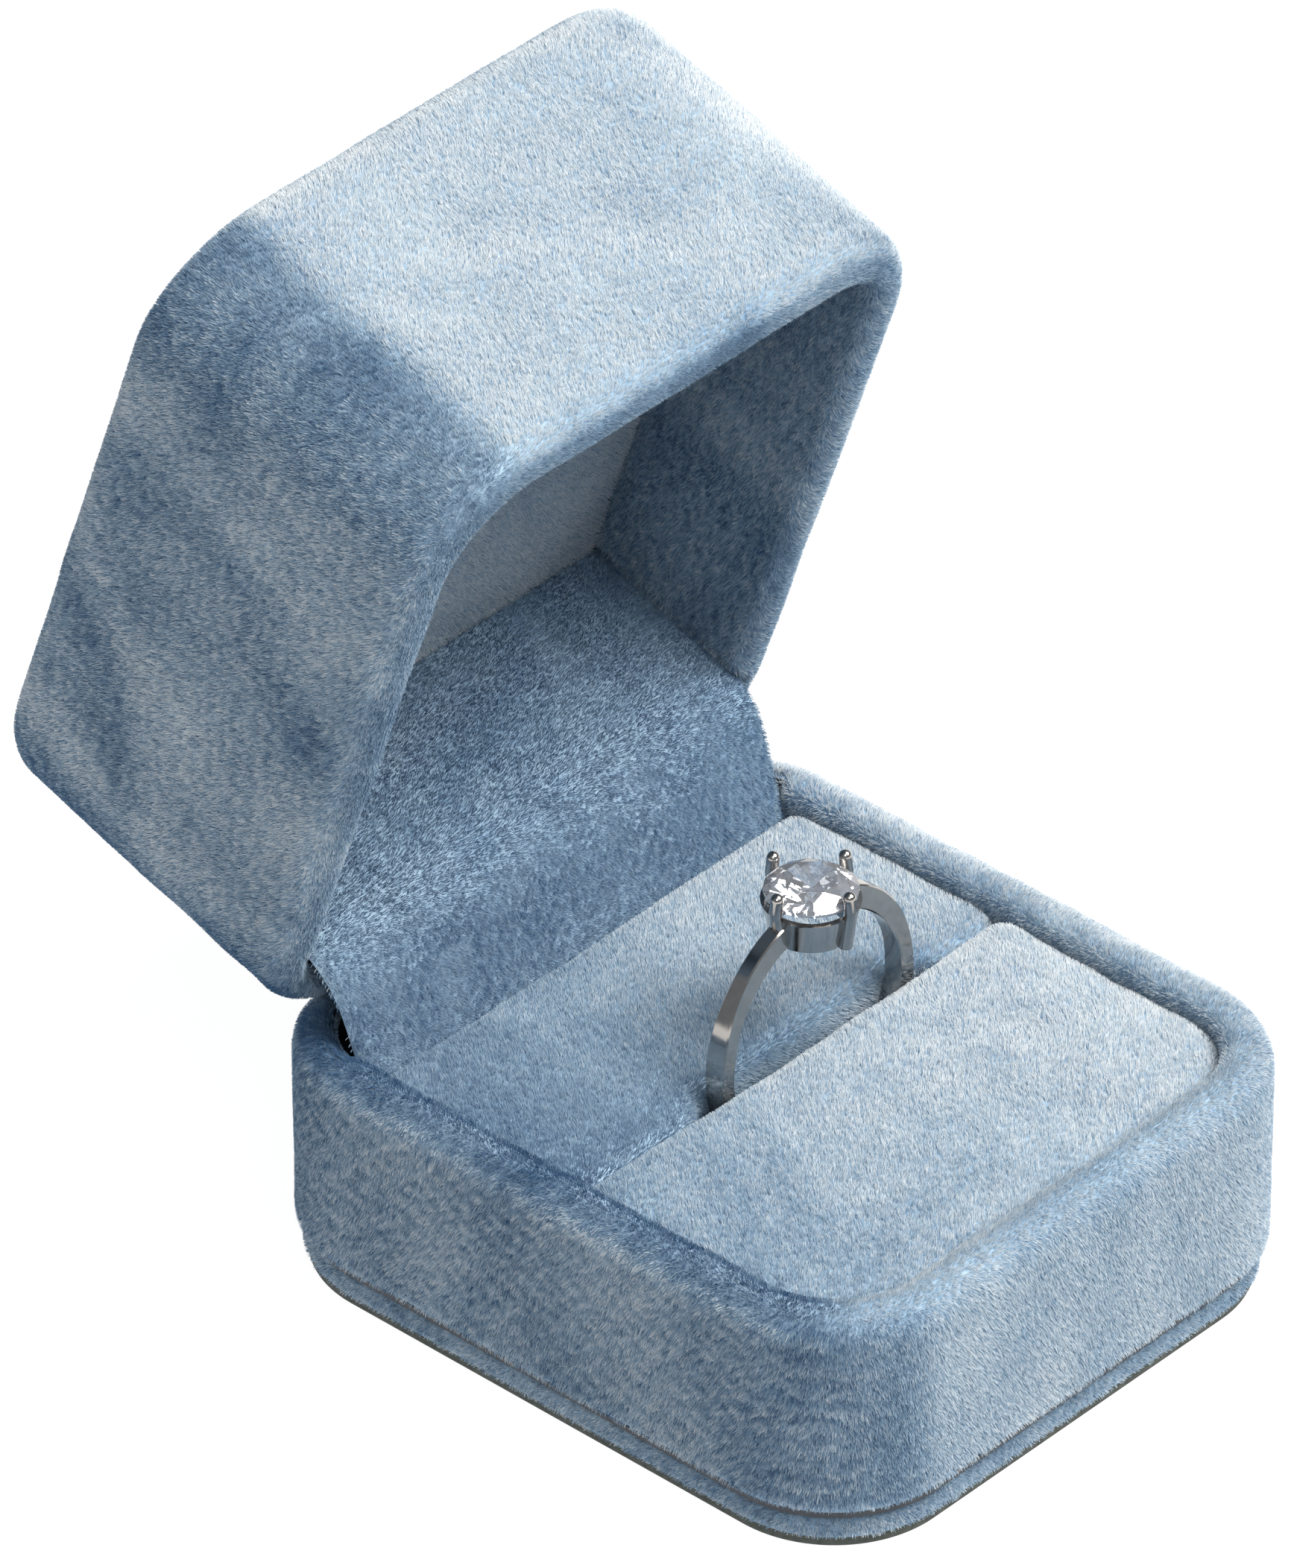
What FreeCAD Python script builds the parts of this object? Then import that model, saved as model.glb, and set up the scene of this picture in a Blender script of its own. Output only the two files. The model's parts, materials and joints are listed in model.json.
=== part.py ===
import FreeCAD, Part
import math
import os

from FreeCAD import Vector

os.makedirs("parts", exist_ok=True)

# Frame: millimetres, +Z up. X runs along the hinge, -Y is the front.
# The origin is the centre of the flat underside. The lid is drawn shut, then turned open.

# Driving dimensions
WIDTH = 48.0
DEPTH = 54.0
PLAN_RADIUS = 9.6
BASE_HEIGHT = 18.7
LID_HEIGHT = 27.2
LID_INNER_HEIGHT = 14.5
FOOT_HEIGHT = 2.5
FOOT_INSET = 0.8
VELVET = 0.6
SHELL_WALL = 2.0
LID_OPEN_ANGLE = 71.5
RIM_GAP = 0.3

# Hinge
HINGE_Y = 24.7
HINGE_Z = BASE_HEIGHT + 0.66
PIN_RADIUS = 0.45
PIN_HOLE_RADIUS = 0.49
KNUCKLE_RADIUS = 1.0
RELIEF_RADIUS = 1.2
LEAF_THICKNESS = 0.5
LEAF_HALF_WIDTH = 12.0
LEAF_REACH = 10.5
LEAF_RELIEF_GAP = 0.1
KNUCKLE_GAP = 0.15
KNUCKLE_SHARES = [0.18, 0.19, 0.26, 0.19, 0.18]
RELIEF_END_GAP = 0.6
PIN_END = 0.3
PIN_CHAMFER = 0.12
RIVET_X = 8.0
RIVET_REACH = 5.5
RIVET_RADIUS = 0.8
RIVET_HEAD_RADIUS = 1.5
RIVET_HEAD_HEIGHT = 0.5
RIVET_HEAD_ROUND = 0.35
SPRING_WIRE_RADIUS = 0.2
SPRING_COIL_RADIUS = 0.75
SPRING_HALF_WIDTH = 1.9
SPRING_BAY_HALF_WIDTH = 2.2
SPRING_RINGS = 11
SPRING_LEG_GAP = 0.3
SPRING_LEG_STEP = 0.5
SPRING_LEG = 5.5

# Rims
RIM_OUTER_RADIUS = 2.15
RIM_INNER_RADIUS = 0.9
LID_TOP_RADIUS = 2.65
FOOT_EDGE_RADIUS = 1.1
REAR_CLEARANCE = 0.3

# Cushion
FLOOR = 1.4
PAD_CARD = 0.8
PAD_TOP = BASE_HEIGHT - 1.3
PAD_BOTTOM = FOOT_HEIGHT + FLOOR + PAD_CARD
PAD_EDGE_RADIUS = 1.1
PAD_SIDE_GAP = 0.1
SLOT_Y = -0.05
SLOT_HALF_WIDTH = 1.15
PAD_REAR_Y = 18.5
PAD_REAR_LOW_Y = 16.85
PAD_UNDERCUT_Z = PAD_TOP - 2.55
LINING_REAR_Y = 18.6

# Lid lining and the flap that hides the hinge
BACK_PANEL_Y = 18.6
BACK_CARD = 0.5
FLAP_AXIS_Y = 20.0
FLAP_AXIS_Z = BASE_HEIGHT + 1.95
FLAP_THICKNESS = 0.9
FLAP_CARD = 0.4
FLAP_LENGTH = 11.6
FLAP_HALF_WIDTH = 20.3
FLAP_CORNER_RADIUS = 1.2
CREASE_GAP = 0.15
FLAP_FOLD_RATIO = 0.543
CEILING_CARD = 0.9
FILLER_REAR_GAP = 1.0

# Ring
RING_X = 2.55
RING_Z = BASE_HEIGHT - 0.8
RING_OUTER_RADIUS = 9.4
RING_INNER_RADIUS = 8.3
BAND_WIDTH = 1.7
BAND_CHAMFER = 0.22
BAND_TAPER = [(1.0, 1.7), (4.1, 1.34), (6.1, 1.16), (10.5, 1.1)]
SHOULDER_OUTLINE = [(7.6, 3.3), (9.1, 2.4), (7.75, 6.05), (4.2, 9.35), (3.2, 9.7), (3.2, 7.6)]
HEAD_TOP = BASE_HEIGHT + 11.3
PRONG_CIRCLE = 3.4
PRONG_RADIUS = 0.43
PRONG_BOTTOM = BASE_HEIGHT + 6.9
PRONG_LEAN_IN = 0.25
PRONG_LEAN_OUT = 0.15
STONE_RADIUS = 3.2
STONE_TABLE_RADIUS = 1.85
GIRDLE_Z = BASE_HEIGHT + 10.0
CROWN_HEIGHT = 0.95
PAVILION_DEPTH = 2.35
GALLERY_TOP = BASE_HEIGHT + 9.2
GALLERY_BOTTOM = BASE_HEIGHT + 7.2
GALLERY_WALL = 0.6
GALLERY_TOP_RADIUS = 3.35
GALLERY_BOTTOM_RADIUS = 2.65
GIRDLE_HALF_HEIGHT = 0.12
CULET_RADIUS = 0.06
STONE_FACETS = 16

# Sizes that follow from the ones above
INNER_INSET = VELVET + SHELL_WALL + VELVET
PAD_HALF_WIDTH = WIDTH / 2 - INNER_INSET - PAD_SIDE_GAP
INNER_WALL_Y = DEPTH / 2 - VELVET - SHELL_WALL
LEAF_FRONT_Y = INNER_WALL_Y - LEAF_THICKNESS
LID_RIM_Z = BASE_HEIGHT + RIM_GAP
LID_TOP_Z = BASE_HEIGHT + LID_HEIGHT
CEILING_Z = BASE_HEIGHT + LID_INNER_HEIGHT
BACK_CARD_Y = BACK_PANEL_Y + VELVET
PANEL_REAR_Y = BACK_CARD_Y + BACK_CARD
X_AXIS = Vector(1, 0, 0)
Z_AXIS = Vector(0, 0, 1)
BIG = 200.0


# Building blocks
def rounded_block(inset, z_low, z_high):
    """A block with the box's plan, made smaller by inset all round."""
    half_x = WIDTH / 2 - inset
    half_y = DEPTH / 2 - inset
    block = Part.makeBox(2 * half_x, 2 * half_y, z_high - z_low, Vector(-half_x, -half_y, z_low))
    return block.makeFillet(PLAN_RADIUS - inset, upright_edges(block))


def upright_edges(shape):
    return [e for e in shape.Edges if abs(e.tangentAt(e.FirstParameter).z) > 0.99]


def edges_at(shape, z):
    """Every edge that lies flat at height z."""
    flat = []
    for edge in shape.Edges:
        box = edge.BoundBox
        if abs(box.ZMin - z) < 0.001 and abs(box.ZMax - z) < 0.001:
            flat.append(edge)
    return flat


def round_edges_at(shape, z, radius):
    return shape.makeFillet(radius, edges_at(shape, z))


def box(x_low, x_high, y_low, y_high, z_low, z_high):
    return Part.makeBox(x_high - x_low, y_high - y_low, z_high - z_low, Vector(x_low, y_low, z_low))


def side_prism(points, half_width):
    """A (y, z) outline carried along X, from -half_width to +half_width."""
    corners = [Vector(-half_width, y, z) for y, z in points]
    outline = Part.makePolygon(corners + [corners[0]])
    return Part.Face(outline).extrude(Vector(2 * half_width, 0, 0))


def rod_along_x(radius, x_low, x_high, y, z):
    return Part.makeCylinder(radius, x_high - x_low, Vector(x_low, y, z), X_AXIS)


def opened(shape):
    """A shape drawn on the shut lid, turned open about the hinge."""
    turned = shape.copy()
    turned.rotate(Vector(0, HINGE_Y, HINGE_Z), X_AXIS, -LID_OPEN_ANGLE)
    return turned


def folded(shape):
    """A shape drawn on the hanging flap of the shut lid, placed as it lies when the lid is open."""
    turned = shape.copy()
    turned.rotate(Vector(0, FLAP_AXIS_Y, FLAP_AXIS_Z), X_AXIS, FLAP_FOLD_RATIO * LID_OPEN_ANGLE)
    return opened(turned)


def hinge_relief():
    """The room that knuckles and spring need in the rims."""
    reach = LEAF_HALF_WIDTH + RELIEF_END_GAP
    return rod_along_x(RELIEF_RADIUS, -reach, reach, HINGE_Y, HINGE_Z)


def base_rear_relief():
    """The room that the open lid's rounded rear rim takes behind the base, with clearance."""
    centre_y = DEPTH / 2 - RIM_OUTER_RADIUS
    centre_z = LID_RIM_Z + RIM_OUTER_RADIUS
    rim = rod_along_x(RIM_OUTER_RADIUS + REAR_CLEARANCE, -WIDTH, WIDTH, centre_y, centre_z)
    back = box(-WIDTH, WIDTH, centre_y, DEPTH / 2 + REAR_CLEARANCE, centre_z, LID_TOP_Z)
    return opened(rim.fuse(back))


# Base
def base_shell():
    shell = rounded_block(VELVET, FOOT_HEIGHT, BASE_HEIGHT - VELVET)
    shell = round_edges_at(shell, BASE_HEIGHT - VELVET, RIM_OUTER_RADIUS - VELVET)
    cavity = rounded_block(VELVET + SHELL_WALL, FOOT_HEIGHT + FLOOR, BIG)
    shell = shell.cut(cavity).cut(hinge_relief()).cut(base_rear_relief())
    return shell.cut(base_rivets())


def base_velvet():
    wrap = rounded_block(0, FOOT_HEIGHT, BASE_HEIGHT)
    wrap = round_edges_at(wrap, BASE_HEIGHT, RIM_OUTER_RADIUS)
    inner = rounded_block(INNER_INSET, FOOT_HEIGHT, BASE_HEIGHT)
    wrap = wrap.cut(inner)
    wrap = wrap.makeFillet(RIM_INNER_RADIUS, inner_edges(edges_at(wrap, BASE_HEIGHT)))
    core = rounded_block(VELVET, FOOT_HEIGHT, BASE_HEIGHT - VELVET)
    core = round_edges_at(core, BASE_HEIGHT - VELVET, RIM_OUTER_RADIUS - VELVET)
    core = core.cut(rounded_block(VELVET + SHELL_WALL, FOOT_HEIGHT + FLOOR + PAD_CARD, BIG))
    wrap = wrap.cut(core)
    wrap = wrap.cut(hinge_bay(FOOT_HEIGHT, BASE_HEIGHT + 1))
    return wrap.cut(hinge_relief()).cut(base_rear_relief())


def inner_edges(edges):
    """The edges of the opening, which lie inside the wall's middle."""
    limit_x = WIDTH / 2 - INNER_INSET + 0.01
    limit_y = DEPTH / 2 - INNER_INSET + 0.01
    chosen = []
    for edge in edges:
        bounds = edge.BoundBox
        reach_x = max(abs(bounds.XMin), abs(bounds.XMax))
        reach_y = max(abs(bounds.YMin), abs(bounds.YMax))
        if reach_x < limit_x and reach_y < limit_y:
            chosen.append(edge)
    return chosen


def hinge_bay(z_low, z_high):
    """The space in front of the rear wall, where no velvet is turned in."""
    bay = rounded_block(VELVET + SHELL_WALL, z_low, z_high)
    return bay.common(box(-BIG, BIG, LINING_REAR_Y, BIG, z_low, z_high))


def bottom_board():
    board = rounded_block(FOOT_INSET + VELVET, VELVET, FOOT_HEIGHT)
    return round_edges_at(board, VELVET, FOOT_EDGE_RADIUS - VELVET)


def bottom_velvet():
    cover = rounded_block(FOOT_INSET, 0, FOOT_HEIGHT)
    cover = round_edges_at(cover, 0, FOOT_EDGE_RADIUS)
    return cover.cut(bottom_board())


def pad_card():
    card = rounded_block(VELVET + SHELL_WALL, FOOT_HEIGHT + FLOOR, FOOT_HEIGHT + FLOOR + PAD_CARD)
    return card.common(box(-BIG, BIG, -BIG, PAD_REAR_LOW_Y, 0, BIG))


def front_pad(inset):
    """The front pad, made smaller by inset at its top and sides."""
    rear_y = SLOT_Y - SLOT_HALF_WIDTH - inset
    plan = rounded_block(INNER_INSET + PAD_SIDE_GAP + inset, PAD_BOTTOM, PAD_TOP - inset)
    block = plan.common(box(-WIDTH, WIDTH, -DEPTH, rear_y, 0, LID_TOP_Z))
    return round_edges_at(block, PAD_TOP - inset, PAD_EDGE_RADIUS - inset)


def rear_pad(inset):
    """The rear pad, whose back slopes in below so that the flap can pass behind it."""
    front = SLOT_Y + SLOT_HALF_WIDTH + inset
    top = PAD_TOP - inset
    slope = (PAD_REAR_Y - PAD_REAR_LOW_Y) / (PAD_TOP - PAD_UNDERCUT_Z)
    rear = PAD_REAR_Y - inset * (slope + math.hypot(1, slope))
    outline = [
        (front, PAD_BOTTOM),
        (front, top),
        (rear, top),
        (PAD_REAR_LOW_Y - inset, PAD_UNDERCUT_Z),
        (PAD_REAR_LOW_Y - inset, PAD_BOTTOM),
    ]
    block = side_prism(outline, PAD_HALF_WIDTH - inset)
    return round_edges_at(block, top, PAD_EDGE_RADIUS - inset)


def front_pad_foam():
    return front_pad(VELVET)


def front_pad_velvet():
    return front_pad(0).cut(front_pad_foam())


def rear_pad_foam():
    return rear_pad(VELVET)


def rear_pad_velvet():
    return rear_pad(0).cut(rear_pad_foam())


# Hinge
def knuckle_spans():
    """The five knuckles as (x_low, x_high); even ones are the base's."""
    length = 2 * LEAF_HALF_WIDTH
    spans = []
    start = -LEAF_HALF_WIDTH
    for share in KNUCKLE_SHARES:
        spans.append((start + KNUCKLE_GAP / 2, start + share * length - KNUCKLE_GAP / 2))
        start += share * length
    return spans


def leaf(spans, z_near, z_far):
    """A sheet steel leaf on the inside of the rear wall, with its knuckles."""
    low, high = min(z_near, z_far), max(z_near, z_far)
    plate = box(-LEAF_HALF_WIDTH, LEAF_HALF_WIDTH, LEAF_FRONT_Y, INNER_WALL_Y, low, high)
    for x_low, x_high in spans:
        tab_low, tab_high = min(z_near, HINGE_Z), max(z_near, HINGE_Z)
        tab = box(x_low, x_high, LEAF_FRONT_Y, INNER_WALL_Y, tab_low, tab_high)
        knuckle = rod_along_x(KNUCKLE_RADIUS, x_low, x_high, HINGE_Y, HINGE_Z)
        plate = plate.fuse(tab).fuse(knuckle)
    hole = rod_along_x(PIN_HOLE_RADIUS, -BIG, BIG, HINGE_Y, HINGE_Z)
    return plate.removeSplitter().cut(hole)


def base_hinge_leaf():
    spans = knuckle_spans()
    middle_left = (spans[2][0], -SPRING_BAY_HALF_WIDTH)
    middle_right = (SPRING_BAY_HALF_WIDTH, spans[2][1])
    z_near = HINGE_Z - RELIEF_RADIUS - LEAF_RELIEF_GAP
    plate = leaf([spans[0], middle_left, middle_right, spans[4]], z_near, z_near - LEAF_REACH)
    return plate.cut(base_rivets())


def lid_leaf_shut():
    spans = knuckle_spans()
    z_near = HINGE_Z + RELIEF_RADIUS + LEAF_RELIEF_GAP
    plate = leaf([spans[1], spans[3]], z_near, z_near + LEAF_REACH)
    return plate.cut(lid_rivets_shut())


def lid_hinge_leaf():
    return opened(lid_leaf_shut())


def hinge_pin():
    end = LEAF_HALF_WIDTH + PIN_END
    pin = rod_along_x(PIN_RADIUS, -end, end, HINGE_Y, HINGE_Z)
    return pin.makeChamfer(PIN_CHAMFER, pin.Edges)


def rivet(x, z):
    """A rivet through leaf and wall, with its head on the leaf."""
    shank_length = SHELL_WALL + LEAF_THICKNESS
    away = Vector(0, 1, 0)
    shank = Part.makeCylinder(RIVET_RADIUS, shank_length, Vector(x, LEAF_FRONT_Y, z), away)
    head_y = LEAF_FRONT_Y - RIVET_HEAD_HEIGHT
    head = Part.makeCylinder(RIVET_HEAD_RADIUS, RIVET_HEAD_HEIGHT, Vector(x, head_y, z), away)
    front = [e for e in head.Edges if abs(e.BoundBox.YMax - head_y) < 0.001]
    return shank.fuse(head.makeFillet(RIVET_HEAD_ROUND, front)).removeSplitter()


def rivet_pair(z):
    return Part.makeCompound([rivet(-RIVET_X, z), rivet(RIVET_X, z)])


def base_rivets():
    return rivet_pair(HINGE_Z - RELIEF_RADIUS - RIVET_REACH)


def lid_rivets_shut():
    return rivet_pair(HINGE_Z + RELIEF_RADIUS + RIVET_REACH)


def lid_rivets():
    return opened(lid_rivets_shut())


def spring_leg(x, side):
    """A wire from the coil to a leaf, below the pin for side -1 and above it for side 1."""
    front_y = LEAF_FRONT_Y - SPRING_WIRE_RADIUS - SPRING_LEG_GAP
    points = [
        Vector(x, HINGE_Y, HINGE_Z + side * SPRING_COIL_RADIUS),
        Vector(x, front_y, HINGE_Z + side * (SPRING_COIL_RADIUS + SPRING_LEG_STEP)),
        Vector(x, front_y, HINGE_Z + side * (SPRING_COIL_RADIUS + SPRING_LEG)),
    ]
    wire = Part.makeSphere(SPRING_WIRE_RADIUS, points[0])
    for start, end in zip(points, points[1:]):
        run = end - start
        wire = wire.fuse(Part.makeCylinder(SPRING_WIRE_RADIUS, run.Length, start, run))
        wire = wire.fuse(Part.makeSphere(SPRING_WIRE_RADIUS, end))
    return wire


def hinge_spring():
    """A torsion spring round the pin: a coil of close rings, with a leg on each leaf."""
    spring = spring_leg(-SPRING_HALF_WIDTH, -1).fuse(opened(spring_leg(SPRING_HALF_WIDTH, 1)))
    for step in range(SPRING_RINGS):
        x = SPRING_HALF_WIDTH * (2 * step / (SPRING_RINGS - 1) - 1)
        ring = Part.makeTorus(SPRING_COIL_RADIUS, SPRING_WIRE_RADIUS, Vector(x, HINGE_Y, HINGE_Z), X_AXIS)
        spring = spring.fuse(ring)
    return spring


# Lid, drawn shut
def lid_outer(inset):
    block = rounded_block(inset, LID_RIM_Z + inset, LID_TOP_Z - inset)
    block = round_edges_at(block, LID_TOP_Z - inset, LID_TOP_RADIUS - inset)
    return round_edges_at(block, LID_RIM_Z + inset, RIM_OUTER_RADIUS - inset)


def lid_shell_shut():
    cavity = rounded_block(VELVET + SHELL_WALL, 0, LID_TOP_Z - VELVET - SHELL_WALL)
    shell = lid_outer(VELVET).cut(cavity)
    return shell.cut(hinge_relief()).cut(lid_rivets_shut())


def lid_velvet_shut():
    wrap = lid_outer(0)
    inner = rounded_block(INNER_INSET, 0, CEILING_Z)
    wrap = wrap.cut(inner)
    wrap = wrap.makeFillet(RIM_INNER_RADIUS, inner_edges(edges_at(wrap, LID_RIM_Z)))
    above_ceiling = rounded_block(VELVET + SHELL_WALL, CEILING_Z, LID_TOP_Z - VELVET - SHELL_WALL)
    cavity = rounded_block(VELVET + SHELL_WALL, 0, LID_TOP_Z - VELVET - SHELL_WALL)
    wrap = wrap.cut(lid_outer(VELVET).cut(cavity)).cut(above_ceiling)
    wrap = wrap.cut(hinge_bay(0, CEILING_Z))
    return wrap.cut(hinge_relief())


def lid_layer(z_low, z_high, y_back):
    """A flat layer inside the lid, from the front wall back to y_back."""
    layer = rounded_block(VELVET + SHELL_WALL, z_low, z_high)
    return layer.common(box(-BIG, BIG, -BIG, y_back, 0, BIG))


def lid_ceiling_velvet_shut():
    return lid_layer(CEILING_Z, CEILING_Z + VELVET, PANEL_REAR_Y)


def lid_ceiling_card_shut():
    return lid_layer(CEILING_Z + VELVET, CEILING_Z + VELVET + CEILING_CARD, PANEL_REAR_Y)


def lid_filler_foam_shut():
    low = CEILING_Z + VELVET + CEILING_CARD
    return lid_layer(low, LID_TOP_Z - VELVET - SHELL_WALL, LEAF_FRONT_Y - FILLER_REAR_GAP)


def back_panel(y_front, y_back):
    return box(-PAD_HALF_WIDTH, PAD_HALF_WIDTH, y_front, y_back, FLAP_AXIS_Z + CREASE_GAP, CEILING_Z)


def lid_back_velvet_shut():
    return back_panel(BACK_PANEL_Y, BACK_CARD_Y)


def lid_back_card_shut():
    return back_panel(BACK_CARD_Y, PANEL_REAR_Y)


# Flap, drawn hanging from the shut lid
def flap_layer(y_front, y_back):
    top = FLAP_AXIS_Z - CREASE_GAP
    layer = box(-FLAP_HALF_WIDTH, FLAP_HALF_WIDTH, y_front, y_back, top - FLAP_LENGTH, top)
    low_corners = [
        e for e in layer.Edges
        if abs(e.tangentAt(e.FirstParameter).y) > 0.99 and e.BoundBox.ZMax < top - 1
    ]
    return layer.makeFillet(FLAP_CORNER_RADIUS, low_corners)


def flap_velvet_shut():
    return flap_layer(FLAP_AXIS_Y - FLAP_THICKNESS, FLAP_AXIS_Y - FLAP_CARD)


def flap_card_shut():
    return flap_layer(FLAP_AXIS_Y - FLAP_CARD, FLAP_AXIS_Y)


# Ring
def ring_cylinder(radius, half_width):
    start = Vector(RING_X, SLOT_Y - half_width, RING_Z)
    return Part.makeCylinder(radius, 2 * half_width, start, Vector(0, 1, 0))


def band():
    """A flat band with crisp ridges and a slightly domed inside."""
    ring = ring_cylinder(RING_OUTER_RADIUS, BAND_WIDTH / 2)
    ring = ring.makeChamfer(BAND_CHAMFER, ring.Edges[0:1] + ring.Edges[2:3])
    return ring.cut(ring_cylinder(RING_INNER_RADIUS, BIG))


def shoulders():
    """The band's two shoulders, which rise to the head as straight tapered blocks."""
    blocks = []
    for side in (-1, 1):
        corners = [
            Vector(RING_X + side * x, SLOT_Y - BAND_WIDTH / 2, RING_Z + z)
            for x, z in SHOULDER_OUTLINE
        ]
        outline = Part.makePolygon(corners + [corners[0]])
        blocks.append(Part.Face(outline).extrude(Vector(0, BAND_WIDTH, 0)))
    return blocks


def taper_room():
    """The room between the band's side faces, which draw together from the slot to the head."""
    side = [(RING_Z + z, width / 2) for z, width in BAND_TAPER]
    side.insert(0, (0, BAND_WIDTH / 2))
    corners = [Vector(-BIG, SLOT_Y - y, z) for z, y in side]
    corners += [Vector(-BIG, SLOT_Y + y, z) for z, y in reversed(side)]
    outline = Part.makePolygon(corners + [corners[0]])
    return Part.Face(outline).extrude(Vector(2 * BIG, 0, 0))


def head_room():
    """The round space that the head fills."""
    low = GALLERY_BOTTOM - 1
    return Part.makeCylinder(PRONG_CIRCLE, BIG, Vector(RING_X, SLOT_Y, low), Z_AXIS)


def ring_shank():
    shank = band()
    for block in shoulders():
        shank = shank.fuse(block)
    shank = shank.removeSplitter().common(taper_room())
    return shank.cut(ring_cylinder(RING_INNER_RADIUS, BIG)).cut(head_room()).cut(prongs())


def prong(angle):
    """One prong, leaning a little outward, with a rounded tip folded over the stone's edge."""
    foot = Vector(PRONG_CIRCLE - PRONG_LEAN_IN, 0, PRONG_BOTTOM)
    top = Vector(PRONG_CIRCLE + PRONG_LEAN_OUT, 0, HEAD_TOP - PRONG_RADIUS)
    axis = top - foot
    stem = Part.makeCylinder(PRONG_RADIUS, axis.Length, foot, axis)
    tip = Part.makeSphere(PRONG_RADIUS, top)
    whole = stem.fuse(tip)
    whole.rotate(Vector(0, 0, 0), Z_AXIS, angle)
    whole.translate(Vector(RING_X, SLOT_Y, 0))
    return whole


def prongs():
    joined = prong(0)
    for angle in (90, 180, 270):
        joined = joined.fuse(prong(angle))
    return joined


def gallery(inset):
    """A cone that widens upwards, from below the stone to its girdle."""
    low_radius = GALLERY_BOTTOM_RADIUS - inset
    high_radius = GALLERY_TOP_RADIUS - inset
    centre = Vector(RING_X, SLOT_Y, GALLERY_BOTTOM)
    return Part.makeCone(low_radius, high_radius, GALLERY_TOP - GALLERY_BOTTOM, centre, Z_AXIS)


def ring_head():
    """The tapered gallery wall and its four prongs."""
    head = gallery(0).cut(gallery(GALLERY_WALL)).fuse(prongs()).removeSplitter()
    return head.cut(ring_cylinder(RING_INNER_RADIUS, BIG)).cut(ring_stone())


def ring_stone():
    """A round brilliant: table, crown, thin girdle and pavilion, with flat facets."""
    levels = [
        (GIRDLE_Z - PAVILION_DEPTH, CULET_RADIUS),
        (GIRDLE_Z - GIRDLE_HALF_HEIGHT, STONE_RADIUS),
        (GIRDLE_Z + GIRDLE_HALF_HEIGHT, STONE_RADIUS),
        (GIRDLE_Z + CROWN_HEIGHT, STONE_TABLE_RADIUS),
    ]
    rings = []
    for z, radius in levels:
        corners = []
        for step in range(STONE_FACETS):
            turn = 2 * math.pi * step / STONE_FACETS
            x = RING_X + radius * math.cos(turn)
            y = SLOT_Y + radius * math.sin(turn)
            corners.append(Vector(x, y, z))
        rings.append(Part.makePolygon(corners + [corners[0]]))
    return Part.makeLoft(rings, True, True)


def export(name, shape):
    shape.exportStep("parts/" + name + ".step")


NODES = {
    "base_shell": base_shell,
    "base_velvet": base_velvet,
    "bottom_board": bottom_board,
    "bottom_velvet": bottom_velvet,
    "pad_card": pad_card,
    "rear_pad_foam": rear_pad_foam,
    "rear_pad_velvet": rear_pad_velvet,
    "front_pad_foam": front_pad_foam,
    "front_pad_velvet": front_pad_velvet,
    "base_hinge_leaf": base_hinge_leaf,
    "base_leaf_rivets": base_rivets,
    "hinge_pin": hinge_pin,
    "hinge_spring": hinge_spring,
    "lid_shell": lambda: opened(lid_shell_shut()),
    "lid_velvet": lambda: opened(lid_velvet_shut()),
    "lid_filler_foam": lambda: opened(lid_filler_foam_shut()),
    "lid_ceiling_card": lambda: opened(lid_ceiling_card_shut()),
    "lid_ceiling_velvet": lambda: opened(lid_ceiling_velvet_shut()),
    "lid_back_card": lambda: opened(lid_back_card_shut()),
    "lid_back_velvet": lambda: opened(lid_back_velvet_shut()),
    "lid_hinge_leaf": lid_hinge_leaf,
    "lid_leaf_rivets": lid_rivets,
    "flap_card": lambda: folded(flap_card_shut()),
    "flap_velvet": lambda: folded(flap_velvet_shut()),
    "ring_shank": ring_shank,
    "ring_head": ring_head,
    "ring_stone": ring_stone,
}

for node, build in NODES.items():
    export(node, build())
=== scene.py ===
import json
import math

import bpy
import numpy as np
from mathutils import Matrix, Vector


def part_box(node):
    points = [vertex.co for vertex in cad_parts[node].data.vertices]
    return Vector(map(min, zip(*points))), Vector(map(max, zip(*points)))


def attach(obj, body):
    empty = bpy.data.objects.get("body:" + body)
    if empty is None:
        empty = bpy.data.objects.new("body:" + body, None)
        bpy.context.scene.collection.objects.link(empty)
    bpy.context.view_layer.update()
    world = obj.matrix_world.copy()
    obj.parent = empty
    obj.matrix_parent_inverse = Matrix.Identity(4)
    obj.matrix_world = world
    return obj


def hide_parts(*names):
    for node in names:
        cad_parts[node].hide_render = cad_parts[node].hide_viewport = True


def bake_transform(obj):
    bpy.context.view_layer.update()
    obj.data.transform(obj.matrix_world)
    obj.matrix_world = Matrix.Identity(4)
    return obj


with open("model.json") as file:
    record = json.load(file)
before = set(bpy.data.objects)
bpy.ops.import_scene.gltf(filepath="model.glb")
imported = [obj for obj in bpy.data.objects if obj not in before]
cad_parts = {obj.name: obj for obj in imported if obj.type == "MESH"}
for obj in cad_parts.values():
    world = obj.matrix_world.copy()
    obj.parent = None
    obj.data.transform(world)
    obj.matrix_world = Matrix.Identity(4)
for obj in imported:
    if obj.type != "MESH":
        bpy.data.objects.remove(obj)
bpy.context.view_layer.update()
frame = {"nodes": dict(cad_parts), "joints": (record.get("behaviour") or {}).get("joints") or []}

# The box is drawn shut, as in the CAD, and lid pieces are then turned open. Sizes are in metres.
MM = 0.001
JOINTS = {joint["name"]: joint for joint in frame["joints"]}
HINGE = np.array(JOINTS["lid_hinge"]["pos_m"])
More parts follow.
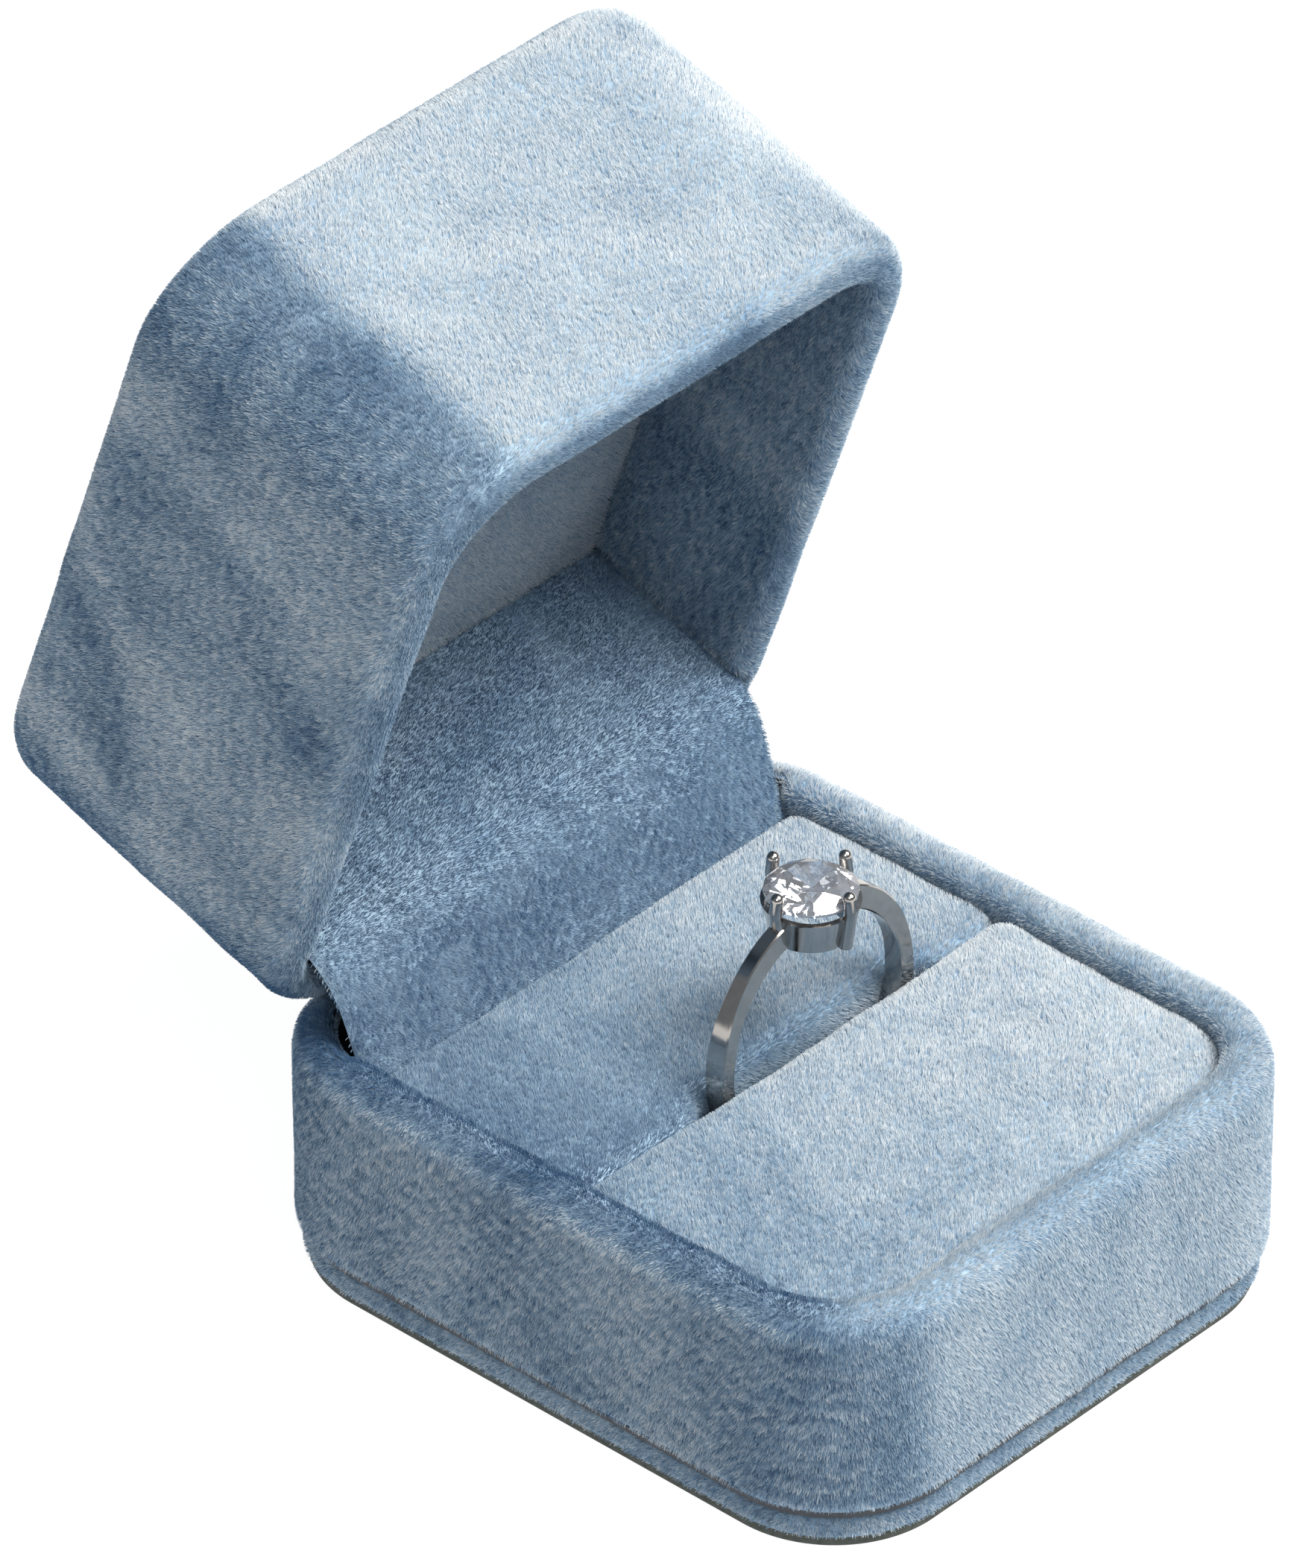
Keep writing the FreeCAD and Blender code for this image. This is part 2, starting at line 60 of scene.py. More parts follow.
OPEN_ANGLE = math.radians(JOINTS["lid_hinge"]["range_deg"][1])


def turned(points, centre, angle):
    """Points turned about a line along X through centre; a positive angle shuts the lid."""
    moved = np.array(points, float)
    y = moved[..., 1] - centre[1]
    z = moved[..., 2] - centre[2]
    moved[..., 1] = centre[1] + y * math.cos(angle) - z * math.sin(angle)
    moved[..., 2] = centre[2] + y * math.sin(angle) + z * math.cos(angle)
    return moved


def opened(points):
    return turned(points, HINGE, -OPEN_ANGLE)


def mesh_points(mesh):
    points = np.empty(len(mesh.vertices) * 3)
    mesh.vertices.foreach_get("co", points)
    return points.reshape(-1, 3)


def mesh_triangles(mesh):
    """The three vertex numbers of each triangle, and the number of the face it belongs to."""
    mesh.calc_loop_triangles()
    corners = np.empty(len(mesh.loop_triangles) * 3, int)
    mesh.loop_triangles.foreach_get("vertices", corners)
    faces = np.empty(len(mesh.loop_triangles), int)
    mesh.loop_triangles.foreach_get("polygon_index", faces)
    return corners.reshape(-1, 3), faces


def node_points(node):
    return mesh_points(frame["nodes"][node].data)


def shut_box(node):
    """The lowest and highest corner of a lid node when the lid is shut."""
    points = turned(node_points(node), HINGE, OPEN_ANGLE)
    return points.min(0), points.max(0)


# Sizes from the frame
BASE_LOW, BASE_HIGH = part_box("base_velvet")
HALF_WIDTH = BASE_HIGH.x
HALF_DEPTH = -BASE_LOW.y
FOOT_TOP = BASE_LOW.z
RIM_Z = BASE_HIGH.z
LID_LOW, LID_HIGH = shut_box("lid_velvet")
CEILING_LOW, CEILING_HIGH = shut_box("lid_ceiling_velvet")
PANEL_LOW, PANEL_HIGH = shut_box("lid_back_velvet")
FILLER_LOW, FILLER_HIGH = shut_box("lid_filler_foam")
FRONT_PAD_LOW, FRONT_PAD_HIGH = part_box("front_pad_velvet")
REAR_PAD_LOW, REAR_PAD_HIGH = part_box("rear_pad_velvet")
SHANK_LOW, SHANK_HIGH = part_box("ring_shank")
STONE_LOW, STONE_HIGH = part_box("ring_stone")
HEAD_LOW, HEAD_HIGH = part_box("ring_head")
RING_X = (SHANK_LOW.x + SHANK_HIGH.x) / 2
RING_Y = (SHANK_LOW.y + SHANK_HIGH.y) / 2
RING_RADIUS = (SHANK_HIGH.x - SHANK_LOW.x) / 2
RING_Z = SHANK_LOW.z + RING_RADIUS
BAND_WIDTH = SHANK_HIGH.y - SHANK_LOW.y

# Sizes that the solids share but a box doesn't show
PLAN_RADIUS = 9.6 * MM
VELVET = 0.6 * MM
WALL = 3.2 * MM
BARE_WALL = 2.6 * MM
RIM_OUTER = 2.15 * MM
RIM_INNER = 1.0 * MM
LID_EDGE = 2.65 * MM
BAY_Y = 18.6 * MM
FOOT_INSET = 0.8 * MM
KNUCKLE_ROOM = 1.25 * MM
KNUCKLE_REACH = 12.8 * MM
GRID = 0.5 * MM
DARK_UNDERSIDE_TOP = 0.75 * MM
TUCK = 0.8 * MM
GROOVE = 0.45 * MM
CREST_INSET = 0.9 * MM
NAP = 0.25 * MM
SKIN_LIP = 1.2 * MM
SKIN_DROP = 1.5 * MM
CREASE_Y = FRONT_PAD_HIGH.y + 0.35 * MM
SPRING_WIRE = 0.2 * MM
SPRING_COIL = 0.75 * MM


# Outlines and swept surfaces
def outline(x_low, x_high, y_low, y_high, front_radius, back_radius, spacing=GRID):
    """Points and outward normals round a rectangle with rounded corners, anticlockwise from above."""
    corners = [
        (x_high - front_radius, y_low + front_radius, front_radius, -90),
        (x_high - back_radius, y_high - back_radius, back_radius, 0),
        (x_low + back_radius, y_high - back_radius, back_radius, 90),
        (x_low + front_radius, y_low + front_radius, front_radius, 180),
    ]
    points = []
    normals = []
    for index, (x, y, radius, start) in enumerate(corners):
        steps = max(5, int(radius * math.pi / 2 / spacing))
        for step in range(steps + 1):
            angle = math.radians(start + 90 * step / steps)
            normal = np.array([math.cos(angle), math.sin(angle)])
            points.append(np.array([x, y]) + radius * normal)
            normals.append(normal)
        next_x, next_y, next_radius = corners[(index + 1) % 4][:3]
        angle = math.radians(start + 90)
        normal = np.array([math.cos(angle), math.sin(angle)])
        end = np.array([next_x, next_y]) + next_radius * normal
        count = max(1, int(np.linalg.norm(end - points[-1]) / spacing))
        start_point = points[-1]
        for step in range(1, count):
            points.append(start_point + (end - start_point) * step / count)
            normals.append(normal)
    return np.array(points), np.array(normals)


def inset_loop(plan, inset, height):
    """The outline moved in by inset, at a height; both may differ from point to point."""
    points, normals = plan
    moved = points - normals * np.reshape(inset, (-1, 1))
    return np.column_stack([moved, np.broadcast_to(height, len(points))])


def shrunk_loops(loop, heights, centre):
    """Loops that shrink from loop to its centre; heights gives each one's height above the loop."""
    count = len(heights)
    middle = np.array([centre[0], centre[1], 0.0])
    loops = []
    for step, height in enumerate(heights, 1):
        share = 1 - step / (count + 1)
        moved = middle + (loop - middle) * np.array([share, share, 1])
        moved[:, 2] += height
        loops.append(moved)
    return loops


def line(start, end, spacing=GRID):
    """Profile points from start up to, but without, end."""
    count = max(1, int(math.dist(start, end) / spacing))
    return [
        tuple(a + (b - a) * step / count for a, b in zip(start, end)) for step in range(count)
    ]


def arc(centre, radius, start, end, steps=7):
    """Profile points on an arc, in degrees, as (inset, height): 180 is the outer side."""
    points = []
    for step in range(steps + 1):
        angle = math.radians(start + (end - start) * step / steps)
        points.append((centre[0] + radius * math.cos(angle), centre[1] + radius * math.sin(angle)))
    return points


def mesh_from_loops(name, loops, ring=False, bare_from=None):
    """A mesh through closed loops of equal length. Faces from loop bare_from on carry no pile."""
    count = len(loops[0])
    vertices = np.concatenate(loops)
    faces = []
    bare = []
    rows = len(loops) if ring else len(loops) - 1
    for row in range(rows):
        below = row * count
        above = ((row + 1) % len(loops)) * count
        for i in range(count):
            j = (i + 1) % count
            faces.append((below + i, below + j, above + j, above + i))
            bare.append(bare_from is not None and row >= bare_from)
    if not ring:
        faces.append(tuple(reversed(range(count))))
        bare.append(False)
        faces.append(tuple(range((len(loops) - 1) * count, len(loops) * count)))
        bare.append(bare_from is not None)
    mesh = bpy.data.meshes.new(name)
    mesh.from_pydata(vertices.tolist(), [], faces)
    flags = mesh.attributes.new("bare", "BOOLEAN", "FACE")
    flags.data.foreach_set("value", bare)
    mesh.update()
    return mesh


def make_piece(name, mesh, body, material, smooth=True):
    """An object for the mesh, facing outwards, that rides on a body."""
    piece = bpy.data.objects.new(name, mesh)
    bpy.context.scene.collection.objects.link(piece)
    face_outwards(mesh)
    mesh.materials.append(material)
    if smooth:
        mesh.shade_smooth()
    if body:
        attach(piece, body)
    return piece


def face_outwards(mesh):
    """Turns the faces over if the closed mesh is inside out."""
    points = mesh_points(mesh)
    corners = mesh_triangles(mesh)[0]
    a, b, c = (points[corners[:, k]] for k in range(3))
    if np.einsum("ij,ij->i", a, np.cross(b, c)).sum() < 0:
        mesh.flip_normals()


def wave_sum(points, size, seed, count=12):
    """A smooth vector at each point: a sum of waves, each about size long."""
    rng = np.random.default_rng(seed)
    total = np.zeros_like(points)
    for _ in range(count):
        direction = rng.normal(size=3)
        direction *= 2 * math.pi / (np.linalg.norm(direction) * size * rng.uniform(0.7, 1.7))
        phase = points @ direction
        total += rng.normal(size=3) * np.sin(phase[:, None] + rng.uniform(0, 2 * math.pi, 3))
    return total * math.sqrt(2 / count)


def uneven(points, size, seed):
    """Like wave_sum, but with the waves themselves bent, so that no pattern repeats."""
    bend = wave_sum(points, 2.3 * size, seed + 1000) * 0.35 * size
    return wave_sum(points + bend, size, seed)


def soften(loops, amount, size, seed):
    """Moves every point a little, smoothly over the surface, so that nothing is machine flat."""
    points = np.concatenate(loops)
    moves = amount * (0.5 * uneven(points, size, seed) + 0.12 * uneven(points, size / 4, seed + 1))
    start = 0
    for loop in loops:
        loop += moves[start:start + len(loop)]
        start += len(loop)
    return loops


def smooth_step(value):
    value = np.clip(value, 0, 1)
    return value * value * (3 - 2 * value)


# Room for the hinge at the rear rims
def rear_room(points):
    """Lowers base points that the open lid's rear rim would meet."""
    centre = opened([0, HALF_DEPTH - RIM_OUTER, LID_LOW[2] + RIM_OUTER])
    radius = RIM_OUTER + 0.35 * MM
    slope = math.tan(math.pi / 2 - OPEN_ANGLE)
    for point in points:
        across = point[1] - centre[1]
        if across <= -radius:
            continue
        touch = radius * math.sin(math.pi / 2 - OPEN_ANGLE)
        if across < touch:
            limit = centre[2] - math.sqrt(max(radius**2 - across**2, 0))
        else:
            limit = centre[2] - math.sqrt(radius**2 - touch**2) + (across - touch) * slope
        point[2] = min(point[2], limit)
    return points


def knuckle_room(points):
    """Pushes points out of the room that the knuckles turn in. The box is shut."""
    for point in points:
        if abs(point[0]) > KNUCKLE_REACH:
            continue
        away = point[1:] - HINGE[1:]
        distance = np.linalg.norm(away)
        if distance < KNUCKLE_ROOM:
            point[1:] = HINGE[1:] + away * KNUCKLE_ROOM / max(distance, 1e-9)
    return points


# Materials
def new_material(name):
    material = bpy.data.materials.new(name)
    material.use_nodes = True
    tree = material.node_tree
    return material, tree, tree.nodes["Principled BSDF"]


def noise_node(tree, coordinates, scale, detail=3.0, roughness=0.55, distortion=0.0):
    node = tree.nodes.new("ShaderNodeTexNoise")
    set_values(node, {"Scale": scale, "Detail": detail, "Roughness": roughness, "Distortion": distortion})
    tree.links.new(coordinates, node.inputs["Vector"])
    return node.outputs["Fac"]


def ramp_node(tree, factor, stops):
    """A colour ramp through (position, colour) stops."""
    node = tree.nodes.new("ShaderNodeValToRGB")
    ramp = node.color_ramp
    while len(ramp.elements) < len(stops):
        ramp.elements.new(0.5)
    for element, (position, colour) in zip(ramp.elements, stops):
        element.position = position
        element.color = (*colour, 1)
    tree.links.new(factor, node.inputs["Fac"])
    return node.outputs["Color"]


def math_node(tree, operation, first, second):
    node = tree.nodes.new("ShaderNodeMath")
    node.operation = operation
    for socket, value in zip(node.inputs, (first, second)):
        if isinstance(value, (int, float)):
            socket.default_value = value
        else:
            tree.links.new(value, socket)
    return node.outputs["Value"]


def set_values(node, values):
    """Constant values for a node's inputs, by name."""
    for name, value in values.items():
        node.inputs[name].default_value = value


def object_coordinates(tree):
    return tree.nodes.new("ShaderNodeTexCoord").outputs["Object"]


def add_bump(tree, shader, height, strength, distance):
    bump = tree.nodes.new("ShaderNodeBump")
    set_values(bump, {"Strength": strength, "Distance": distance})
    tree.links.new(height, bump.inputs["Height"])
    tree.links.new(bump.outputs["Normal"], shader.inputs["Normal"])


DEEP_BLUE = (0.075, 0.158, 0.28)
MID_BLUE = (0.35, 0.475, 0.585)
PALE_BLUE = (0.76, 0.795, 0.815)


def velvet_material():
    """The cloth under the fibres: dusty blue, mottled where it has been brushed."""
    material, tree, shader = new_material("velvet")
    place = object_coordinates(tree)
    patches = noise_node(tree, place, 95, 3, 0.6, 0.4)
    grain = noise_node(tree, place, 900, 2, 0.6)
    speckle = noise_node(tree, place, 3200, 1, 0.5)
    mixed = math_node(tree, "MULTIPLY", patches, 0.5)
    mixed = math_node(tree, "ADD", mixed, math_node(tree, "MULTIPLY", grain, 0.25))
    mixed = math_node(tree, "ADD", mixed, math_node(tree, "MULTIPLY", speckle, 0.25))
    colour = ramp_node(tree, mixed, [(0.25, DEEP_BLUE), (0.65, MID_BLUE), (0.95, PALE_BLUE)])
    tree.links.new(colour, shader.inputs["Base Color"])
    set_values(shader, {"Roughness": 0.95, "Specular IOR Level": 0.0, "Sheen Weight": 0.08,
                        "Sheen Roughness": 0.45, "Sheen Tint": (0.72, 0.84, 0.95, 1)})
    add_bump(tree, shader, math_node(tree, "ADD", grain, speckle), 0.5, 0.15 * MM)
    return material


def pile_material():
    """The fibres: a little paler at the tip than at the root, which is painted light on the tips and
    painted shade down among the roots, and each with its own shade.
    """
    material, tree, shader = new_material("pile")
    shade = tree.nodes.new("ShaderNodeAttribute")
    shade.attribute_name = "shade"
    strand = tree.nodes.new("ShaderNodeHairInfo")
    # Painted light: the colour pales from root to tip.
    painted_tip_light = math_node(tree, "MULTIPLY", strand.outputs["Intercept"], 0.26)
    gain = math_node(tree, "ADD", painted_tip_light, 0.93)
    stops = [(0.12, DEEP_BLUE), (0.45, MID_BLUE), (0.8, PALE_BLUE)]
    colour = ramp_node(tree, math_node(tree, "MULTIPLY", shade.outputs["Fac"], gain), stops)
    tree.links.new(colour, shader.inputs["Base Color"])
    set_values(shader, {"Roughness": 0.8, "Specular IOR Level": 0.0, "Sheen Weight": 0.04,
                        "Sheen Roughness": 0.5})
    through = tree.nodes.new("ShaderNodeBsdfTranslucent")
    tree.links.new(colour, through.inputs["Color"])
    mix = tree.nodes.new("ShaderNodeMixShader")
    mix.inputs["Fac"].default_value = 0.3
    tree.links.new(shader.outputs["BSDF"], mix.inputs[1])
    tree.links.new(through.outputs["BSDF"], mix.inputs[2])
    tree.links.new(mix.outputs["Shader"], tree.nodes["Material Output"].inputs["Surface"])
    return material


def metal_material(name, colour, roughness, scratch):
    material, tree, shader = new_material(name)
    place = object_coordinates(tree)
    wear = noise_node(tree, place, 1400, 4, 0.6)
    tint = ramp_node(tree, wear, [(0.3, tuple(0.86 * c for c in colour)), (0.7, colour)])
    tree.links.new(tint, shader.inputs["Base Color"])
    shader.inputs["Metallic"].default_value = 1.0
    rough = ramp_node(tree, wear, [(0.3, (roughness,) * 3), (0.75, (roughness + scratch,) * 3)])
    tree.links.new(rough, shader.inputs["Roughness"])
    return material


def stone_material():
    material, tree, shader = new_material("clear_stone")
    place = object_coordinates(tree)
    haze = noise_node(tree, place, 600, 2)
    tint = ramp_node(tree, haze, [(0.3, (0.84, 0.88, 0.95)), (0.7, (0.93, 0.95, 1.0))])
    tree.links.new(tint, shader.inputs["Base Color"])
    set_values(shader, {"Roughness": 0.0, "IOR": 2.3, "Transmission Weight": 0.9})
    return material


def plain_material(name, low, high, scale, roughness, bump_height):
    """Card, foam or plastic: a mottled colour over a fine bump."""
    material, tree, shader = new_material(name)
    place = object_coordinates(tree)
    mottle = noise_node(tree, place, scale, 4, 0.6)
    tree.links.new(ramp_node(tree, mottle, [(0.35, low), (0.65, high)]), shader.inputs["Base Color"])
    shader.inputs["Roughness"].default_value = roughness
    add_bump(tree, shader, mottle, 0.4, bump_height)
    return material


VELVET_LOOK = velvet_material()
PILE_LOOK = pile_material()
WHITE_METAL = metal_material("white_metal", (0.49, 0.465, 0.44), 0.1, 0.05)
PLATED_STEEL = metal_material("plated_steel", (0.62, 0.58, 0.5), 0.25, 0.2)
STONE_LOOK = stone_material()
CARD_LOOK = plain_material("card", (0.36, 0.34, 0.3), (0.46, 0.44, 0.39), 700, 0.9, 0.05 * MM)
FOAM_LOOK = plain_material("foam", (0.6, 0.6, 0.56), (0.75, 0.74, 0.7), 1500, 0.95, 0.15 * MM)
# A near-black, faintly green colour for the foot's underside and the strip along its bottom edge.
DARK_UNDERSIDE_LOOK = plain_material("dark_underside", (0.05, 0.058, 0.052), (0.085, 0.095, 0.085), 1800, 0.95, 0.1 * MM)
TRAY_LOOK = plain_material("moulded_tray", (0.03, 0.036, 0.045), (0.05, 0.058, 0.07), 900, 0.55, 0.03 * MM)


# Base pieces
def wall_insets(plan):
    """Per outline point: how far in the velvet reaches, and a share that is 1 in the hinge bay."""
    bay = smooth_step((plan[0][:, 1] - BAY_Y) / (0.8 * MM))
    return WALL + (BARE_WALL - WALL) * bay, bay


def inner_rim(plan, reach, crest, up):
    """Loops that roll from the rim's crest to the inside; up is 1 for the base and -1 for the lid."""
    loops = []
    for angle in range(80, -1, -16):
        turn = math.radians(angle)
        inset = reach - RIM_INNER + RIM_INNER * math.cos(turn)
        loops.append(inset_loop(plan, inset, crest - up * RIM_INNER + up * RIM_INNER * math.sin(turn)))
    return loops


def base_wrap():
    """The velvet over the outside, the rim and the inside of the base."""
    plan = outline(-HALF_WIDTH, HALF_WIDTH, -HALF_DEPTH, HALF_DEPTH, PLAN_RADIUS, PLAN_RADIUS)
    reach, bay = wall_insets(plan)
    pad_floor = FRONT_PAD_LOW.z
    bottom_z = FOOT_TOP + GROOVE
    outside = arc((NAP + TUCK, bottom_z + TUCK), TUCK, 270, 180, 5)
    outside += line((NAP, bottom_z + TUCK), (NAP, RIM_Z - RIM_OUTER))[1:]
    outside += arc((RIM_OUTER, RIM_Z - RIM_OUTER), RIM_OUTER - NAP, 180, 90)
    loops = [inset_loop(plan, inset, height) for inset, height in outside]
    crest = RIM_Z - NAP
    loops += inner_rim(plan, reach, crest, 1)
    top = crest - RIM_INNER
    bottom = pad_floor + (top - 0.1 * MM - pad_floor) * bay
    steps = int((top - pad_floor) / (0.8 * MM))
    for step in range(1, steps + 1):
        loops.append(inset_loop(plan, reach, top + (bottom - top) * step / steps))
    hidden = len(loops)
    skin = RIM_Z - VELVET
    loops.append(inset_loop(plan, BARE_WALL, np.minimum(bottom, skin)))
    loops.append(inset_loop(plan, BARE_WALL, skin))
    loops.append(inset_loop(plan, VELVET + SKIN_LIP, skin))
    loops.append(inset_loop(plan, VELVET, skin - SKIN_DROP))
    loops.append(inset_loop(plan, VELVET, bottom_z))
    soften(loops[:hidden], 0.05 * MM, 9 * MM, 1)
    loops = [knuckle_room(rear_room(loop)) for loop in loops]
    mesh = mesh_from_loops("base_wrap", loops, ring=True, bare_from=hidden - 1)
    piece = make_piece("base_wrap", mesh, "base", VELVET_LOOK)
    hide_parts("base_velvet")
    return piece


def foot_wrap():
    """The velvet-covered board under the base: a soft rounded edge below a groove."""
    half_x = HALF_WIDTH - FOOT_INSET
    half_y = HALF_DEPTH - FOOT_INSET
    radius = PLAN_RADIUS - FOOT_INSET
    plan = outline(-half_x, half_x, -half_y, half_y, radius, radius)
    centre = (0, 0)
    lower = 0.2 * MM
    upper = 0.9 * MM
    profile = arc((lower, lower), lower, 270, 180, 2) + [(0, DARK_UNDERSIDE_TOP)]
    profile += arc((upper, FOOT_TOP - upper), upper, 180, 90, 6)
    rim = [inset_loop(plan, inset, height) for inset, height in profile]
    flat = [0.0] * 8
    under = list(reversed(shrunk_loops(rim[0], flat, centre)))
    over = shrunk_loops(rim[-1], flat, centre)
    soften(rim[4:], 0.1 * MM, 5 * MM, 4)
    for loop in rim[4:]:
        loop[:, 2] = np.minimum(loop[:, 2], FOOT_TOP)
    mesh = mesh_from_loops("foot_wrap", under + rim + over, bare_from=len(under) + len(rim) - 1)
    piece = make_piece("foot_wrap", mesh, "base", VELVET_LOOK)
    mesh.materials.append(DARK_UNDERSIDE_LOOK)
    # Faces below the strip's top take the near-black underside colour.
    for face in mesh.polygons:
        if face.center.z < DARK_UNDERSIDE_TOP:
            face.material_index = 1
    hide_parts("bottom_velvet", "bottom_board")
    return piece


def pad_loops(plan, centre, bottom, top, edge, crown):
    """A closed pad: flat below, straight sides, a rounded edge and a crowned top."""
    side = line((0, bottom), (0, top - edge), 1.0 * MM)
    side += arc((edge, top - edge), edge, 180, 95, 8)
    loops = [inset_loop(plan, inset, height) for inset, height in side]
    under = list(reversed(shrunk_loops(loops[0], [0.0] * 3, centre)))
    rings = 30
    rise = [crown * (1 - (1 - step / rings) ** 2.2) for step in range(1, rings + 1)]
    return under + loops + shrunk_loops(loops[-1], rise, centre)


def slot_edge(points, pad_edge):
    """Away from the ring, the pad's edge swells to meet the other pad at the crease."""
    for point in points:
        beyond = (abs(point[0] - RING_X) - RING_RADIUS - 0.3 * MM) / (3.5 * MM)
        swell = float(smooth_step(beyond)) * (abs(CREASE_Y - pad_edge) - 0.08 * MM)
        near = float(smooth_step(1 - abs(point[1] - pad_edge) / (3 * MM)))
        low = 1 - 0.25 * float(smooth_step((RIM_Z - 4 * MM - point[2]) / (4 * MM)))
        point[1] += math.copysign(swell * near * low, CREASE_Y - pad_edge)
    return points


def front_cushion():
    """The pad in front of the slot, highest along its rear edge."""
    low, high = FRONT_PAD_LOW, FRONT_PAD_HIGH
    corner = PLAN_RADIUS - WALL
    plan = outline(low.x, high.x, low.y + 0.1 * MM, high.y, corner, 1.5 * MM)
    centre = (0, (low.y + high.y) / 2)
    loops = pad_loops(plan, centre, low.z, high.z - 0.35 * MM, 1.4 * MM, 0.4 * MM)
    for loop in loops:
        for point in loop:
            upper = float(smooth_step((point[2] - high.z + 3 * MM) / (2 * MM)))
            lift = float(smooth_step((point[1] - high.y + 7 * MM) / (6 * MM)))
            point[2] += 0.3 * MM * lift * upper
        slot_edge(loop, high.y)
    soften(loops[4:], 0.09 * MM, 7 * MM, 7)
    mesh = mesh_from_loops("front_cushion", loops)
    piece = make_piece("front_cushion", mesh, "base", VELVET_LOOK)
    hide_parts("front_pad_velvet", "front_pad_foam")
    return piece


def rear_cushion():
    """The pad behind the slot; its back slopes in so that the hinge cover can pass."""
    low, high = REAR_PAD_LOW, REAR_PAD_HIGH
    back = high.y - 0.1 * MM
    plan = outline(low.x, high.x, low.y, back, 1.4 * MM, 1.4 * MM)
    centre = (0, (low.y + back) / 2)
    loops = pad_loops(plan, centre, low.z, high.z - 0.35 * MM, 1.3 * MM, 0.4 * MM)
    for loop in loops:
        for point in loop:
            depth = min(max(high.z - 0.4 * MM - point[2], 0), 2.5 * MM)
            near = float(smooth_step(1 - (back - point[1]) / (4 * MM)))
            point[1] -= near * 0.62 * depth
        slot_edge(loop, low.y)
    soften(loops[4:], 0.08 * MM, 7 * MM, 12)
    mesh = mesh_from_loops("rear_cushion", loops)
    piece = make_piece("rear_cushion", mesh, "base", VELVET_LOOK)
    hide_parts("rear_pad_velvet", "rear_pad_foam")
    return piece


# Lid pieces, drawn shut
def lid_wrap():
    """The velvet over the outside, the rim and the inside of the lid."""
    plan = outline(-HALF_WIDTH, HALF_WIDTH, -HALF_DEPTH, HALF_DEPTH, PLAN_RADIUS, PLAN_RADIUS)
    reach, bay = wall_insets(plan)
    rim_z = LID_LOW[2]
    top_z = LID_HIGH[2]
    ceiling = CEILING_LOW[2]
    centre = (0, 0)
    edge = arc((LID_EDGE, top_z - LID_EDGE), LID_EDGE - NAP, 90, 180)
    edge += line((NAP, top_z - LID_EDGE), (NAP, rim_z + RIM_OUTER))[1:]
    edge += arc((RIM_OUTER, rim_z + RIM_OUTER), RIM_OUTER - NAP, 180, 270)
    outside = [inset_loop(plan, inset, height) for inset, height in edge]
    flat_top = shrunk_loops(outside[0], [0.0] * 44, centre)
    loops = list(reversed(flat_top)) + outside
    crest = rim_z + NAP
    loops += inner_rim(plan, reach, crest, -1)
    start = crest + RIM_INNER
    end = ceiling + (start + 0.1 * MM - ceiling) * bay
    steps = int((ceiling - start) / GRID)
    for step in range(1, steps + 1):
        loops.append(inset_loop(plan, reach, start + (end - start) * step / steps))
    hidden = len(loops)
    skin = rim_z + VELVET
    loops.append(inset_loop(plan, BARE_WALL, np.maximum(end, skin)))
    loops.append(inset_loop(plan, BARE_WALL, skin))
    loops.append(inset_loop(plan, VELVET + SKIN_LIP, skin))
    loops.append(inset_loop(plan, VELVET, skin + SKIN_DROP))
    loops.append(inset_loop(plan, VELVET, top_z - LID_EDGE))
    loops.append(inset_loop(plan, LID_EDGE, top_z - VELVET))
    loops += shrunk_loops(loops[-1], [0.0] * 4, centre)
    soften(loops[:hidden], 0.05 * MM, 10 * MM, 21)
    loops = [opened(knuckle_room(loop)) for loop in loops]
    mesh = mesh_from_loops("lid_wrap", loops, bare_from=hidden - 1)
    piece = make_piece("lid_wrap", mesh, "lid", VELVET_LOOK)
    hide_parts("lid_velvet")
    return piece


def lid_ceiling():
    """The velvet panel at the bottom of the lid's hollow."""
    low, high = CEILING_LOW, CEILING_HIGH
    margin = WALL - BARE_WALL + 0.1 * MM
    plan = outline(low[0] + margin, high[0] - margin, low[1] + margin, high[1],
                   PLAN_RADIUS - WALL, 0.8 * MM)
    centre = (0, (low[1] + high[1]) / 2)
    edge = arc((0.5 * MM, low[2] + 0.5 * MM), 0.5 * MM, 270, 180, 4) + [(0.0, high[2])]
    rim = [inset_loop(plan, inset, height) for inset, height in edge]
    rings = 30
    sag = [-0.25 * MM * (1 - (1 - step / rings) ** 2) for step in range(1, rings + 1)]
    face = list(reversed(shrunk_loops(rim[0], sag, centre)))
    back = shrunk_loops(rim[-1], [0.0] * 3, centre)
    soften(face, 0.05 * MM, 7 * MM, 31)
    loops = [opened(loop) for loop in face + rim + back]
    mesh = mesh_from_loops("lid_ceiling", loops, bare_from=len(face) + 1)
    piece = make_piece("lid_ceiling", mesh, "lid", VELVET_LOOK)
    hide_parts("lid_ceiling_velvet")
    return piece


